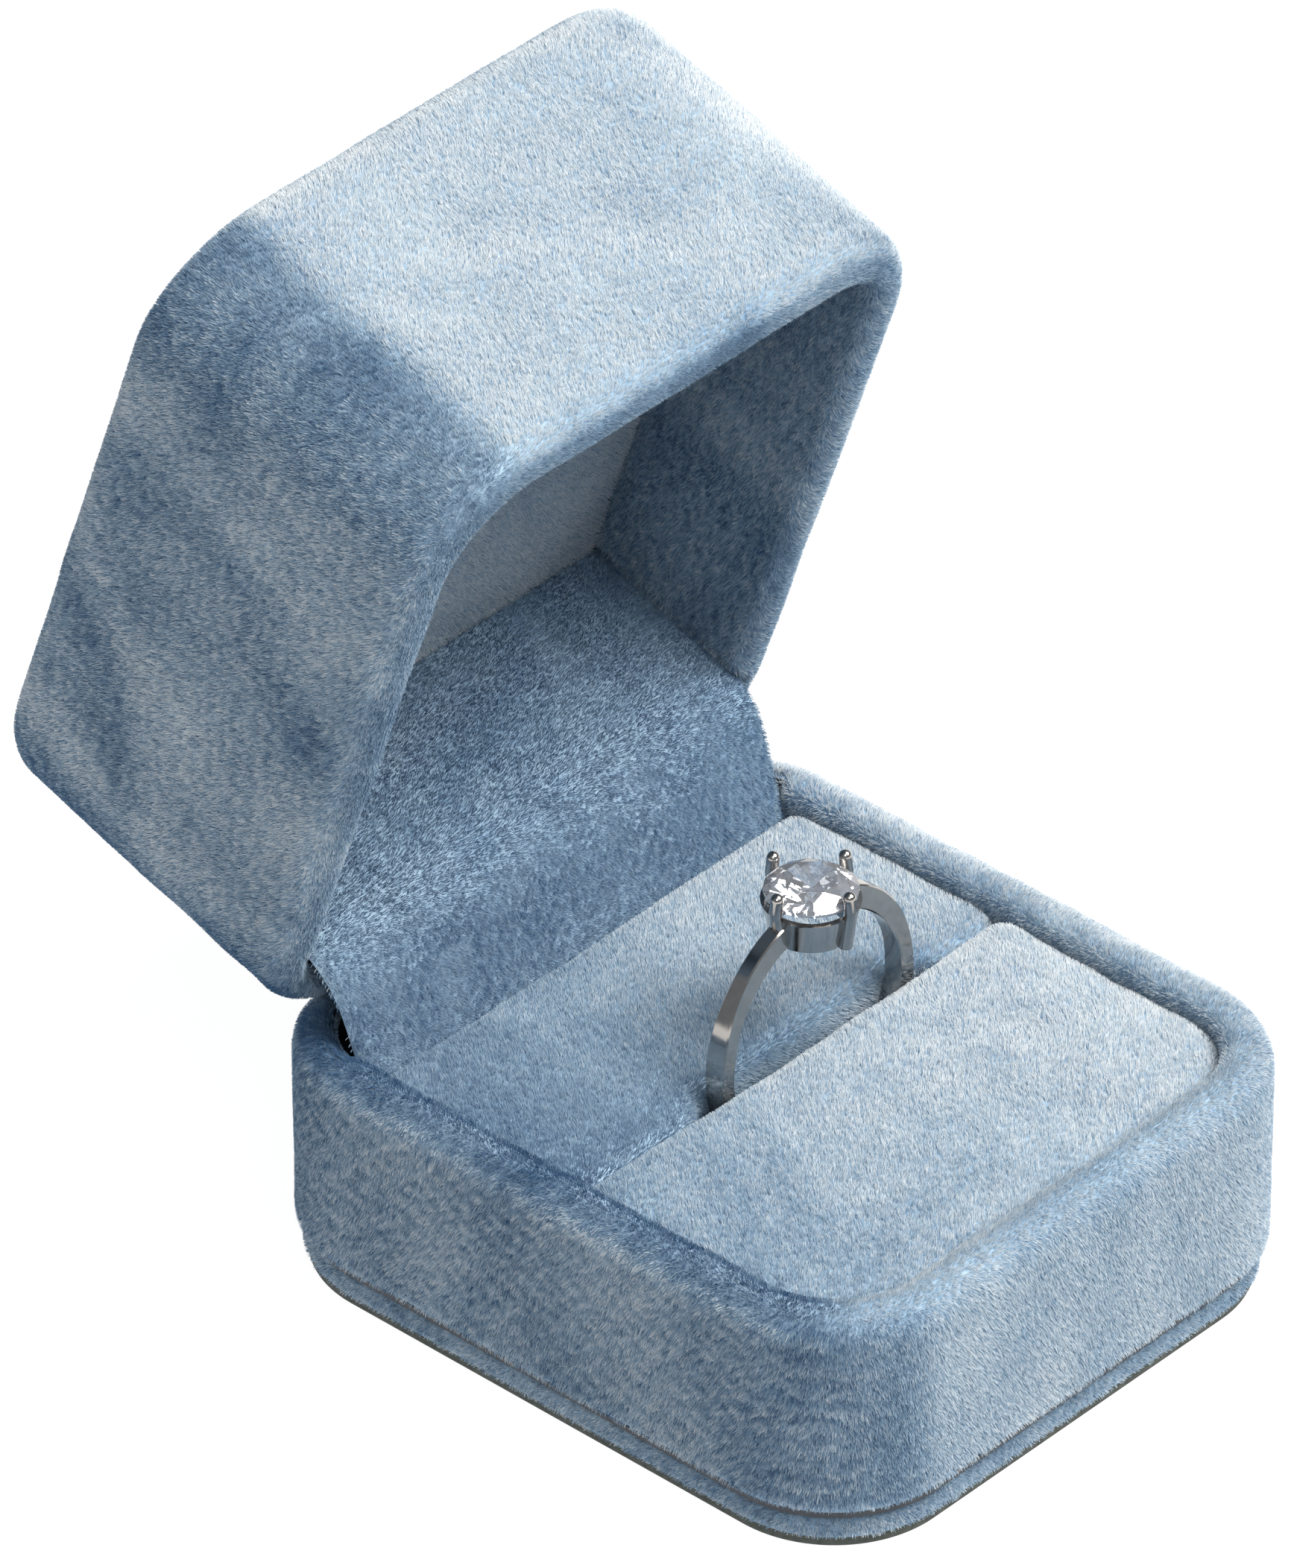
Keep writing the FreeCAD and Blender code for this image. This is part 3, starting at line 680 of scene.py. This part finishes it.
def lid_filler():
    """The foam block between the lid's top and its ceiling."""
    low, high = FILLER_LOW, FILLER_HIGH
    gap = 0.1 * MM
    corner = PLAN_RADIUS - BARE_WALL
    plan = outline(low[0] + gap, high[0] - gap, low[1] + gap, high[1] - gap, corner, 5.2 * MM)
    edge = arc((0.6 * MM, low[2] + 0.6 * MM), 0.6 * MM, 270, 180, 4)
    edge += line((0, low[2] + 0.6 * MM), (0, high[2] - 0.8 * MM), 1.5 * MM)[1:]
    edge += arc((0.6 * MM, high[2] - 0.8 * MM), 0.6 * MM, 180, 90, 4)
    rim = [inset_loop(plan, inset, height) for inset, height in edge]
    centre = (0, (low[1] + high[1]) / 2)
    face = list(reversed(shrunk_loops(rim[0], [0.0] * 4, centre)))
    loops = face + rim + shrunk_loops(rim[-1], [0.0] * 4, centre)
    mesh = mesh_from_loops("lid_filler", [opened(loop) for loop in loops])
    piece = make_piece("lid_filler", mesh, "lid", FOAM_LOOK)
    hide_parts("lid_filler_foam")
    return piece


# Hinge cover
def flap_rest_line():
    """The flap's front face at rest, as its top and bottom (y, z), and the panel's foot and top."""
    points = node_points("flap_velvet")
    right = points[np.abs(points[:, 0]) < 0.02]
    top = right[np.argmax(right[:, 2])]
    tail = right[np.argmin(right[:, 1])]
    panel_low = opened([0, PANEL_LOW[1], PANEL_LOW[2]])
    panel_high = opened([0, PANEL_LOW[1], PANEL_HIGH[2]])
    return panel_high, panel_low, top, tail


PANEL_STEPS = 25
BEND_STEPS = 12
FLAP_STEPS = 23
COVER_COLUMNS = 84


def cover_route():
    """The cover's front face from top to tail, as (y, z) points, and the ends of its bend."""
    panel_high, panel_low, flap_top, flap_tail = flap_rest_line()
    down_panel = (panel_low - panel_high)[1:]
    down_panel /= np.linalg.norm(down_panel)
    down_flap = (flap_tail - flap_top)[1:]
    down_flap /= np.linalg.norm(down_flap)
    bend_start = panel_low[1:] - down_panel * 0.9 * MM
    bend_end = flap_top[1:] + down_flap * 0.9 * MM
    reach = np.linalg.norm(bend_end - bend_start) * 0.45
    route = list(np.linspace(panel_high[1:], bend_start, PANEL_STEPS + 1)[:-1])
    a, b = bend_start, bend_start + down_panel * reach
    c, d = bend_end - down_flap * reach, bend_end
    for step in range(BEND_STEPS + 1):
        share = step / BEND_STEPS
        route.append((1 - share) ** 3 * a + 3 * share * (1 - share) ** 2 * b
                     + 3 * share**2 * (1 - share) * c + share**3 * d)
    route += list(np.linspace(bend_end, flap_tail[1:], FLAP_STEPS + 1)[1:])
    start = (0, *(bend_start + down_panel * 0.2 * MM))
    end = (0, *(bend_end - down_flap * 0.2 * MM))
    return np.array(route), start, end


def hinge_cover():
    """One strip of velvet: down the panel at the lid's back, round a soft bend, down the flap."""
    route, start, end = cover_route()
    along = np.gradient(route, axis=0)
    along /= np.linalg.norm(along, axis=1)[:, None]
    back = np.column_stack([-along[:, 1], along[:, 0]])
    flap_half = frame_half_width("flap_velvet") + 0.12 * MM
    panel_half = HALF_WIDTH - BARE_WALL - 0.2 * MM
    bend = smooth_step((np.arange(len(route)) - PANEL_STEPS) / BEND_STEPS)
    half = panel_half + (flap_half - panel_half) * bend
    thickness = (0.55 + 0.5 * bend) * MM
    loops = []
    for column in range(COVER_COLUMNS + 1):
        x = half * (2 * column / COVER_COLUMNS - 1)
        thinned = 0.45 * (1 - smooth_step(min(column, COVER_COLUMNS - column) / 2))
        front = route + back * (thickness * thinned)[:, None]
        rear = route + back * (thickness * (1 - thinned))[:, None]
        ring = np.concatenate([front, rear[::-1]])
        loops.append(np.column_stack([np.concatenate([x, x[::-1]]), ring]))
    soften(loops, 0.06 * MM, 6 * MM, 41)
    mesh = mesh_from_loops("hinge_cover", loops)
    piece = make_piece("hinge_cover", mesh, None, VELVET_LOOK)
    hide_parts("lid_back_velvet", "flap_velvet", "flap_card")
    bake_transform(piece)
    return piece, route[PANEL_STEPS + BEND_STEPS // 2]


# Hinge spring
def leg_end(points, side):
    """Where a spring leg ends, as (y, z): below the pin for side -1 and above it for side 1."""
    reach = side * points[:, 2]
    tip = points[reach > reach.max() - 0.1 * MM]
    return tip[:, 1].mean(), side * (reach.max() - SPRING_WIRE)


def leg_route(points, side, x):
    """A spring leg from its end to the coil, drawn as if the box was shut."""
    y, z = leg_end(points, side)
    coil_z = HINGE[2] + side * SPRING_COIL
    return [(x, y, z), (x, y, coil_z + side * 0.5 * MM), (x, HINGE[1], coil_z)]


def tube_loops(route, radius, sides=8):
    """Circles along a route, each square to it."""
    along = np.gradient(route, axis=0)
    along /= np.linalg.norm(along, axis=1)[:, None]
    across = np.cross(along[0], (1, 0, 0))
    loops = []
    for point, direction in zip(route, along):
        across = across - direction * (across @ direction)
        across /= np.linalg.norm(across)
        other = np.cross(direction, across)
        turns = np.linspace(0, 2 * math.pi, sides, endpoint=False)[:, None]
        loops.append(point + radius * (np.cos(turns) * across + np.sin(turns) * other))
    return loops


def hinge_spring():
    """A torsion spring round the pin, which winds up between its leg on the base and its leg on the lid."""
    points = node_points("hinge_spring")
    shut_points = turned(points, HINGE, OPEN_ANGLE)
    half = points[:, 0].max() - SPRING_WIRE
    rounds = 10
    start = -math.pi / 2
    end = 2 * math.pi * rounds + math.pi / 2 - OPEN_ANGLE
    route = leg_route(points, -1, -half)
    steps = 24 * rounds
    for step in range(1, steps):
        share = step / steps
        angle = start + (end - start) * share
        route.append((half * (2 * share - 1), HINGE[1] + SPRING_COIL * math.cos(angle),
                      HINGE[2] + SPRING_COIL * math.sin(angle)))
    route += [opened(np.array(point)) for point in reversed(leg_route(shut_points, 1, half))]
    mesh = mesh_from_loops("torsion_spring", tube_loops(np.array(route), SPRING_WIRE))
    piece = make_piece("torsion_spring", mesh, None, PLATED_STEEL)
    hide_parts("hinge_spring")
    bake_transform(piece)
    return piece


def frame_half_width(node):
    low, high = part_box(node)
    return (high.x - low.x) / 2


# Ring
def ring_shank():
    """A band with crisp ridges, which narrows and thickens as it rises to the head."""
    end_angle = math.radians(162)
    neck = math.radians(85)
    neck_reach = math.radians(75)
    shoulder = 0.65 * MM
    thickness = 1.12 * MM
    narrowing = 0.3 * MM
    narrowing_height = 8 * MM
    bevel = 0.1 * MM
    steps = 160
    inner = RING_RADIUS - thickness
    loops = []
    for step in range(steps + 1):
        angle = end_angle * (2 * step / steps - 1)
        rise = float(smooth_step((abs(angle) - neck) / neck_reach))
        height = -RING_RADIUS * math.cos(angle)
        outer = RING_RADIUS + shoulder * rise
        half = BAND_WIDTH / 2 - narrowing * float(smooth_step(height / narrowing_height))
        section = [
            (inner + bevel, -half), (inner, -half + bevel), (inner, half - bevel),
            (inner + bevel, half), (outer - bevel, half), (outer, half - bevel),
            (outer, -half + bevel), (outer - bevel, -half),
        ]
        loop = []
        for radius, y in section:
            loop.append((RING_X + radius * math.sin(angle), RING_Y + y,
                         RING_Z - radius * math.cos(angle)))
        loops.append(np.array(loop))
    mesh = mesh_from_loops("ring_band", loops)
    piece = make_piece("ring_band", mesh, "ring", WHITE_METAL)
    soften_edges(piece)
    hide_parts("ring_shank")
    return piece


def soften_edges(piece):
    """Smooth shading on the curves, sharp on the ridges."""
    piece.data.set_sharp_from_angle(angle=math.radians(32))


def surface_of_revolution(name, profile, centre, steps=96):
    """A closed ring from (radius, height) points round a vertical axis."""
    loops = []
    for step in range(steps):
        angle = 2 * math.pi * step / steps
        loops.append(np.array([
            (centre[0] + radius * math.cos(angle), centre[1] + radius * math.sin(angle), height)
            for radius, height in profile
        ]))
    return mesh_from_loops(name, loops, ring=True)


def ring_gallery():
    """The tapered wall between the prongs."""
    low = HEAD_LOW.z - 0.05 * MM
    top = STONE_LOW.z + 1.62 * MM
    profile = [
        (2.8 * MM, low), (3.3 * MM, top - 0.12 * MM), (3.36 * MM, top), (2.9 * MM, top),
        (2.8 * MM, top - 0.15 * MM), (2.25 * MM, low),
    ]
    mesh = surface_of_revolution("ring_gallery", profile, (RING_X, RING_Y))
    piece = make_piece("ring_gallery", mesh, "ring", WHITE_METAL)
    soften_edges(piece)
    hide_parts("ring_head")
    return piece


def ring_prong(index):
    """One prong: a tapered wire with a rounded tip that leans over the stone's edge."""
    angle = index * math.pi / 2
    outward = np.array([math.cos(angle), math.sin(angle), 0])
    centre = np.array([RING_X, RING_Y, 0])
    low = HEAD_LOW.z
    high = HEAD_HIGH.z
    tip = 0.45 * MM
    foot_reach = 3.05
    flare = 0.42
    lean = 0.12
    seat = 0.72
    steps = 14
    route = []
    for step in range(steps + 1):
        share = step / steps
        reach = foot_reach + flare * min(share / seat, 1) - lean * max(share - seat, 0) / (1 - seat)
        point = centre + outward * reach * MM
        point[2] = low + (high - tip - low) * share
        route.append((point, (0.48 - 0.03 * share) * MM))
    shoulder = route[-1][0]
    for step in range(1, 7):
        turn = step / 6.5 * math.pi / 2
        point = shoulder.copy()
        point[2] += tip * math.sin(turn)
        route.append((point, tip * math.cos(turn)))
    side = np.array([-outward[1], outward[0], 0])
    sides = 20
    loops = []
    for point, radius in route:
        loop = []
        for step in range(sides):
            turn = 2 * math.pi * step / sides
            loop.append(point + radius * (math.cos(turn) * outward + math.sin(turn) * side))
        loops.append(np.array(loop))
    mesh = mesh_from_loops(f"ring_prong_{index + 1}", loops)
    return make_piece(f"ring_prong_{index + 1}", mesh, "ring", WHITE_METAL)


def stone_tier(count, reach, height, start=0.0):
    """Points round the stone's axis at one height."""
    angles = [start + 2 * math.pi * step / count for step in range(count)]
    return [(RING_X + reach * math.cos(angle), RING_Y + reach * math.sin(angle), height)
            for angle in angles]


def stone_tiers():
    """The corners of the table, the star points, the girdle's two edges, the pavilion and the culet."""
    radius = (STONE_HIGH.x - STONE_LOW.x) / 2
    girdle = 0.1 * MM
    crown = 0.95 * MM
    middle = STONE_HIGH.z - crown
    depth = middle - STONE_LOW.z
    table = 0.58 * radius
    shoulder = 0.8 * radius
    lower = 0.24 * radius
    half = math.cos(math.pi / 8)
    shoulder_z = middle + girdle + (crown - girdle) * (radius - shoulder * half) / (radius - table)
    lower_z = middle - girdle - (depth - girdle) * (1 - lower * half / radius)
    return [
        stone_tier(8, table, STONE_HIGH.z, math.pi / 8),
        stone_tier(8, shoulder, shoulder_z),
        stone_tier(16, radius, middle + girdle),
        stone_tier(16, radius, middle - girdle),
        stone_tier(8, lower, lower_z),
        [(RING_X, RING_Y, STONE_LOW.z)],
    ]


def ring_stone():
    """A round brilliant: table, stars, kites and girdle facets above, kites and halves below."""
    vertices = []
    tiers = []
    for tier in stone_tiers():
        tiers.append(range(len(vertices), len(vertices) + len(tier)))
        vertices += tier
    tops, stars, upper, under, halves, (culet,) = tiers
    faces = [tuple(tops)]
    for k in range(8):
        after = (k + 1) % 8
        before = (k - 1) % 8
        odd = 2 * k + 1
        faces.append((tops[before], stars[k], tops[k]))
        faces.append((tops[k], stars[k], upper[odd], stars[after]))
        faces.append((stars[k], upper[2 * k], upper[odd]))
        faces.append((stars[k], upper[(2 * k - 1) % 16], upper[2 * k]))
        faces.append((culet, halves[after], under[odd], halves[k]))
        faces.append((halves[k], under[odd], under[2 * k]))
        faces.append((halves[k], under[2 * k], under[(2 * k - 1) % 16]))
    for k in range(16):
        after = (k + 1) % 16
        faces.append((under[k], under[after], upper[after], upper[k]))
    mesh = bpy.data.meshes.new("ring_brilliant")
    mesh.from_pydata(vertices, [], faces)
    mesh.update()
    piece = make_piece("ring_brilliant", mesh, "ring", STONE_LOOK, smooth=False)
    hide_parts("ring_stone")
    return piece


# Pile: short fibres on the velvet
PILE_DENSITY = 95
PILE_LENGTH = 0.42 * MM
FIBRE_RADII = [0.017 * MM, 0.016 * MM, 0.008 * MM]
FIBRE_ROOT = 0.05 * MM
PATCH_SIZE = 10 * MM
TUFT_SIZE = 0.9 * MM


def surface_samples(mesh, per_mm2, seed, keep=None):
    """Random points on the mesh's piled faces, with normals."""
    rng = np.random.default_rng(seed)
    points = mesh_points(mesh)
    corners, polygons = mesh_triangles(mesh)
    bare = np.empty(len(mesh.polygons), bool)
    mesh.attributes["bare"].data.foreach_get("value", bare)
    corners = corners[~bare[polygons]]
    a, b, c = (points[corners[:, k]] for k in range(3))
    cross = np.cross(b - a, c - a)
    areas = np.linalg.norm(cross, axis=1) / 2
    count = int(areas.sum() / MM**2 * per_mm2)
    chosen = rng.choice(len(areas), count, p=areas / areas.sum())
    u = rng.random((count, 1))
    v = rng.random((count, 1))
    over = (u + v) > 1
    u = np.where(over, 1 - u, u)
    v = np.where(over, 1 - v, v)
    roots = a[chosen] + u * (b - a)[chosen] + v * (c - a)[chosen]
    normals = cross[chosen] / (2 * areas[chosen, None])
    if keep is not None:
        kept = keep(roots, normals)
        roots = roots[kept]
        normals = normals[kept]
    return roots, normals, rng


def plan_depth(points):
    """How far each point is inside the box's plan, and the way to its middle."""
    side = np.sign(points[:, :2])
    corner = np.abs(points[:, :2]) - (np.array([HALF_WIDTH, HALF_DEPTH]) - PLAN_RADIUS)
    beyond = np.maximum(corner, 0)
    rounded = np.linalg.norm(beyond, axis=1)
    depth = PLAN_RADIUS - rounded - np.minimum(corner.max(1), 0)
    nearest = np.where(corner == corner.max(1)[:, None], 1.0, 0.0)
    outward = np.where((rounded > 1e-9)[:, None], beyond / np.maximum(rounded, 1e-9)[:, None], nearest)
    inward = np.column_stack([-side * outward, np.zeros(len(points))])
    return depth, inward


def left_corner(points):
    """How much the plan turns to the left: sharply up from the front, then fading to 0 on the side."""
    inward = plan_depth(points)[1]
    return smooth_step(inward[:, 0] / 0.45) * np.sqrt(np.clip(1 - inward[:, 0] ** 2, 0, 1))


def base_painted_light(points):
    """Painted light and shade on the base's pile: painted shade on the left and rear rims, a painted
    highlight on the front and right rims, which face the key light, and painted shade on the left side and
    round the left corners."""
    depth, inward = plan_depth(points)
    rim = smooth_step((points[:, 2] - RIM_Z + 1.5 * MM) / MM)
    # Along the rim: painted shade on the left and rear rims, and a painted highlight on the front and right
    # rims, which face the key light.
    brushed = smooth_step((np.maximum(inward[:, 1], -inward[:, 0]) - 0.45) / 0.4)
    along = -0.3 + 0.43 * brushed
    # Painted shade on the left side, which faces away from the key light.
    side = 0.06 * smooth_step(inward[:, 0])
    # Painted shade round the left corners, on the outside.
    return along * rim - 0.18 * left_corner(points) * (depth < MM) - side


# Painted light and shade on the lid's pile, worked out with the lid shut.
def lid_painted_light(points):
    shut = turned(points, HINGE, OPEN_ANGLE)
    depth, inward = plan_depth(shut)
    outside = smooth_step((1.6 * MM - depth) / MM)
    # Painted highlight on the front wall, which faces up towards the key light when the lid is open.
    front = smooth_step(inward[:, 1])
    # Painted shade round the left corners.
    corner = 0.52 * left_corner(shut)
    # Painted shade away from the outer walls: over the rim's inner side, inside the hollow and on the lid's
    # top, which faces back when the lid is open.
    return outside * (0.23 * front - corner) - 0.14 * (1 - outside)


def rear_pad_painted_light(points):
    """Painted light and shade: a little darker overall, paler to the right, towards the key light, and
    painted shade where the pile rolls over into the slot.
    """
    slot = smooth_step((REAR_PAD_LOW.y + 2.2 * MM - points[:, 1]) / (2.2 * MM))
    return -0.04 + 0.22 * points[:, 0] / HALF_WIDTH - 0.06 * slot


def even_painted_light(value, slope=0.0):
    """Painted light and shade, even over a piece but for a slope that grows from the middle to the right
    side, towards the key light.
    """
    return lambda points: value + slope * points[:, 0] / HALF_WIDTH


def base_nap(points):
    """The pile of the base's wall lies down outside, and outwards over the rim."""
    depth, inward = plan_depth(points)
    over = smooth_step((depth - CREST_INSET) / (0.5 * MM) + 0.5)[:, None]
    return over * ((0, 0, 0.3) - inward) + (1 - over) * np.array([0, 0, -1])


def lid_nap(points):
    """The pile of the lid's wall lies away from the rim outside, and outwards over the rim."""
    shut = turned(points, HINGE, OPEN_ANGLE)
    depth, inward = plan_depth(shut)
    over = smooth_step((depth - CREST_INSET) / (0.5 * MM) + 0.5)[:, None]
    over *= (shut[:, 2] < CEILING_LOW[2] + MM)[:, None]
    nap = over * ((0, 0, -0.3) - inward) + (1 - over) * np.array([0, 0.25, 1])
    return turned(nap, (0, 0, 0), -OPEN_ANGLE)


def even_nap(direction):
    return lambda points: np.broadcast_to(np.array(direction, float), points.shape)


def fibre_paths(roots, normals, lean, length, rng):
    """Three points per fibre: below the skin, halfway, and the tip bent over along lean."""
    lean = lean - normals * np.einsum("ij,ij->i", lean, normals)[:, None]
    size = length * rng.uniform(0.86, 1.08, (len(roots), 1))
    middle = roots + size * (0.5 * normals + 0.18 * lean)
    tips = middle + size * (0.36 * normals + 0.4 * lean)
    return np.stack([roots - FIBRE_ROOT * normals, middle, tips], axis=1)


def fibre_shades(painted_light, normals, patches, tufts, rng):
    """A shade from 0 to 1 per fibre; walls that face left or right are brushed more unevenly."""
    side = np.abs(normals[:, 0])
    shade = 0.5 + (0.025 + 0.022 * side) * patches[:, 0] + (0.02 + 0.055 * side) * tufts[:, 1]
    # The piece's painted light and shade moves every fibre's shade up or down.
    shade += painted_light
    shade += rng.normal(0, 1, len(normals)) * (0.22 * np.clip(shade, 0, 1) + 0.07 * side)
    return np.clip(shade, 0, 1)


def grow_pile(piece, body, nap, painted_light, seed, length=PILE_LENGTH, keep=None):
    """Fibres on a velvet piece that lean the way nap gives, with brushed patches."""
    roots, normals, rng = surface_samples(piece.data, PILE_DENSITY, seed, keep)
    count = len(roots)
    patches = uneven(roots, PATCH_SIZE, seed)
    tufts = uneven(roots, TUFT_SIZE, seed + 5)
    lean = 0.9 * nap(roots) + 0.13 * patches + 0.1 * tufts + rng.normal(0, 0.17, (count, 3))
    path = fibre_paths(roots, normals, lean, length, rng)
    shade = fibre_shades(painted_light(roots), normals, patches, tufts, rng)
    hair = bpy.data.hair_curves.new(piece.name + "_pile")
    hair.add_curves([3] * count)
    hair.position_data.foreach_set("vector", path.astype(np.float32).ravel())
    radii = hair.attributes.get("radius") or hair.attributes.new("radius", "FLOAT", "POINT")
    radii.data.foreach_set("value", np.tile(FIBRE_RADII, count))
    shades = hair.attributes.new("shade", "FLOAT", "CURVE")
    shades.data.foreach_set("value", shade)
    hair.materials.append(PILE_LOOK)
    pile = bpy.data.objects.new(piece.name + "_pile", hair)
    bpy.context.scene.collection.objects.link(pile)
    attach(pile, body)
    return pile


# Build the object
wrap = base_wrap()
foot = foot_wrap()
front = front_cushion()
rear = rear_cushion()
lid = lid_wrap()
ceiling = lid_ceiling()
lid_filler()
cover, crease = hinge_cover()
hinge_spring()
ring_shank()
ring_gallery()
for number in range(4):
    ring_prong(number)
ring_stone()

NODE_LOOKS = {
    "base_shell": TRAY_LOOK,
    "lid_shell": TRAY_LOOK,
    "pad_card": CARD_LOOK,
    "lid_ceiling_card": CARD_LOOK,
    "lid_back_card": CARD_LOOK,
    "base_hinge_leaf": PLATED_STEEL,
    "lid_hinge_leaf": PLATED_STEEL,
    "base_leaf_rivets": PLATED_STEEL,
    "lid_leaf_rivets": PLATED_STEEL,
    "hinge_pin": PLATED_STEEL,
}
for node, look in NODE_LOOKS.items():
    for entry in frame["nodes"][node].material_slots:
        entry.material = look

# Where the pieces carry pile: only where it shows
PAD_SHOWS = RIM_Z - 4 * MM


def above_pads(points, normals):
    outside = (plan_depth(points)[0] < MM) & (points[:, 2] > FOOT_TOP + GROOVE + 0.6 * MM)
    return (points[:, 2] > PAD_SHOWS) | outside


def pad_top(points, normals):
    return points[:, 2] > PAD_SHOWS


def foot_edge(points, normals):
    return (points[:, 2] > DARK_UNDERSIDE_TOP + 0.1 * MM) & (points[:, 2] < FOOT_TOP - 0.3 * MM)


def cover_front(points, normals):
    return normals @ np.array([0, -0.6, 0.8]) > -0.05


def panel_part(points, normals):
    return cover_front(points, normals) & (points[:, 2] >= crease[1])


def flap_part(points, normals):
    return cover_front(points, normals) & (points[:, 2] < crease[1])


COVER_NAP = even_nap((0, -0.3, -0.6))
COVER_PILE = 0.34 * MM
PAD_NAP = even_nap((0.4, 0.7, 0))

# The fourth argument of each call is painted light and shade: the front pad paler and paler still to the
# right, towards the key light, the ceiling paler, the foot a little darker and the hinge cover much darker,
# as painted shade.
grow_pile(wrap, "base", base_nap, base_painted_light, 101, keep=above_pads)
grow_pile(foot, "base", even_nap((0, 0, -0.3)), even_painted_light(-0.05), 102, 0.4 * MM, foot_edge)
grow_pile(front, "base", PAD_NAP, even_painted_light(0.09, 0.2), 103, keep=pad_top)
grow_pile(rear, "base", PAD_NAP, rear_pad_painted_light, 104, keep=pad_top)
grow_pile(lid, "lid", lid_nap, lid_painted_light, 105)
grow_pile(ceiling, "lid", even_nap((0, 0, 0.5)), even_painted_light(0.1), 106)
grow_pile(cover, "lid", COVER_NAP, even_painted_light(-0.25), 107, COVER_PILE, panel_part)
grow_pile(cover, "hinge_flap", COVER_NAP, even_painted_light(-0.26), 108, COVER_PILE, flap_part)


# Stage, lights and camera
def floor():
    size = 3.0
    mesh = bpy.data.meshes.new("floor")
    corners = [(-size, -size, 0), (size, -size, 0), (size, size, 0), (-size, size, 0)]
    mesh.from_pydata(corners, [], [(0, 1, 2, 3)])
    material, _, shader = new_material("floor")
    set_values(shader, {"Base Color": (0.1, 0.1, 0.1, 1), "Roughness": 0.9,
                        "Emission Color": (1, 1, 1, 1), "Emission Strength": 0.96})
    mesh.materials.append(material)
    piece = bpy.data.objects.new("floor", mesh)
    bpy.context.scene.collection.objects.link(piece)


def area_light(name, place, aim, size, watts, colour=(1, 1, 1)):
    light = bpy.data.lights.new(name, "AREA")
    light.shape = "RECTANGLE"
    light.size, light.size_y = size
    light.energy = watts
    light.color = colour
    lamp = bpy.data.objects.new(name, light)
    lamp.location = place
    direction = Vector(aim) - Vector(place)
    lamp.rotation_euler = direction.to_track_quat("-Z", "Y").to_euler()
    bpy.context.scene.collection.objects.link(lamp)


def world_light():
    world = bpy.data.worlds.new("studio")
    world.use_nodes = True
    back = world.node_tree.nodes["Background"]
    set_values(back, {"Color": (0.86, 0.92, 1, 1), "Strength": 0.27})
    bpy.context.scene.world = world


def camera():
    """A long lens from the left, above the front corner."""
    aim = Vector((0, 5.4, 18.7)) * MM
    azimuth = math.radians(-48.21)
    elevation = math.radians(36.45)
    roll = math.radians(0.21)
    distance = 1.12225
    right_shift = -5.053 * MM
    up_shift = 13.877 * MM
    back = Vector((math.sin(azimuth) * math.cos(elevation),
                   -math.cos(azimuth) * math.cos(elevation), math.sin(elevation)))
    lens = bpy.data.cameras.new("camera")
    lens.lens = 391.4
    lens.sensor_width = 36
    lens.clip_end = 10
    view = bpy.data.objects.new("camera", lens)
    place = aim + back * distance
    right = Vector((0, 0, 1)).cross(back).normalized()
    up = back.cross(right)
    centre = aim + right * right_shift + up * up_shift
    view.location = place
    look = (centre - place).to_track_quat("-Z", "Y")
    view.rotation_euler = (look @ Matrix.Rotation(roll, 3, "Z").to_quaternion()).to_euler()
    bpy.context.scene.collection.objects.link(view)
    bpy.context.scene.camera = view


floor()
world_light()
TARGET = (0, 0.01, 0.03)
area_light("key", (0.32, -0.5, 1.0), TARGET, (0.8, 0.8), 28, (1, 0.955, 0.9))
area_light("card", (-0.55, -0.5, 0.75), TARGET, (0.5, 0.5), 2.8)
camera()
bpy.context.scene.view_settings.view_transform = "Standard"
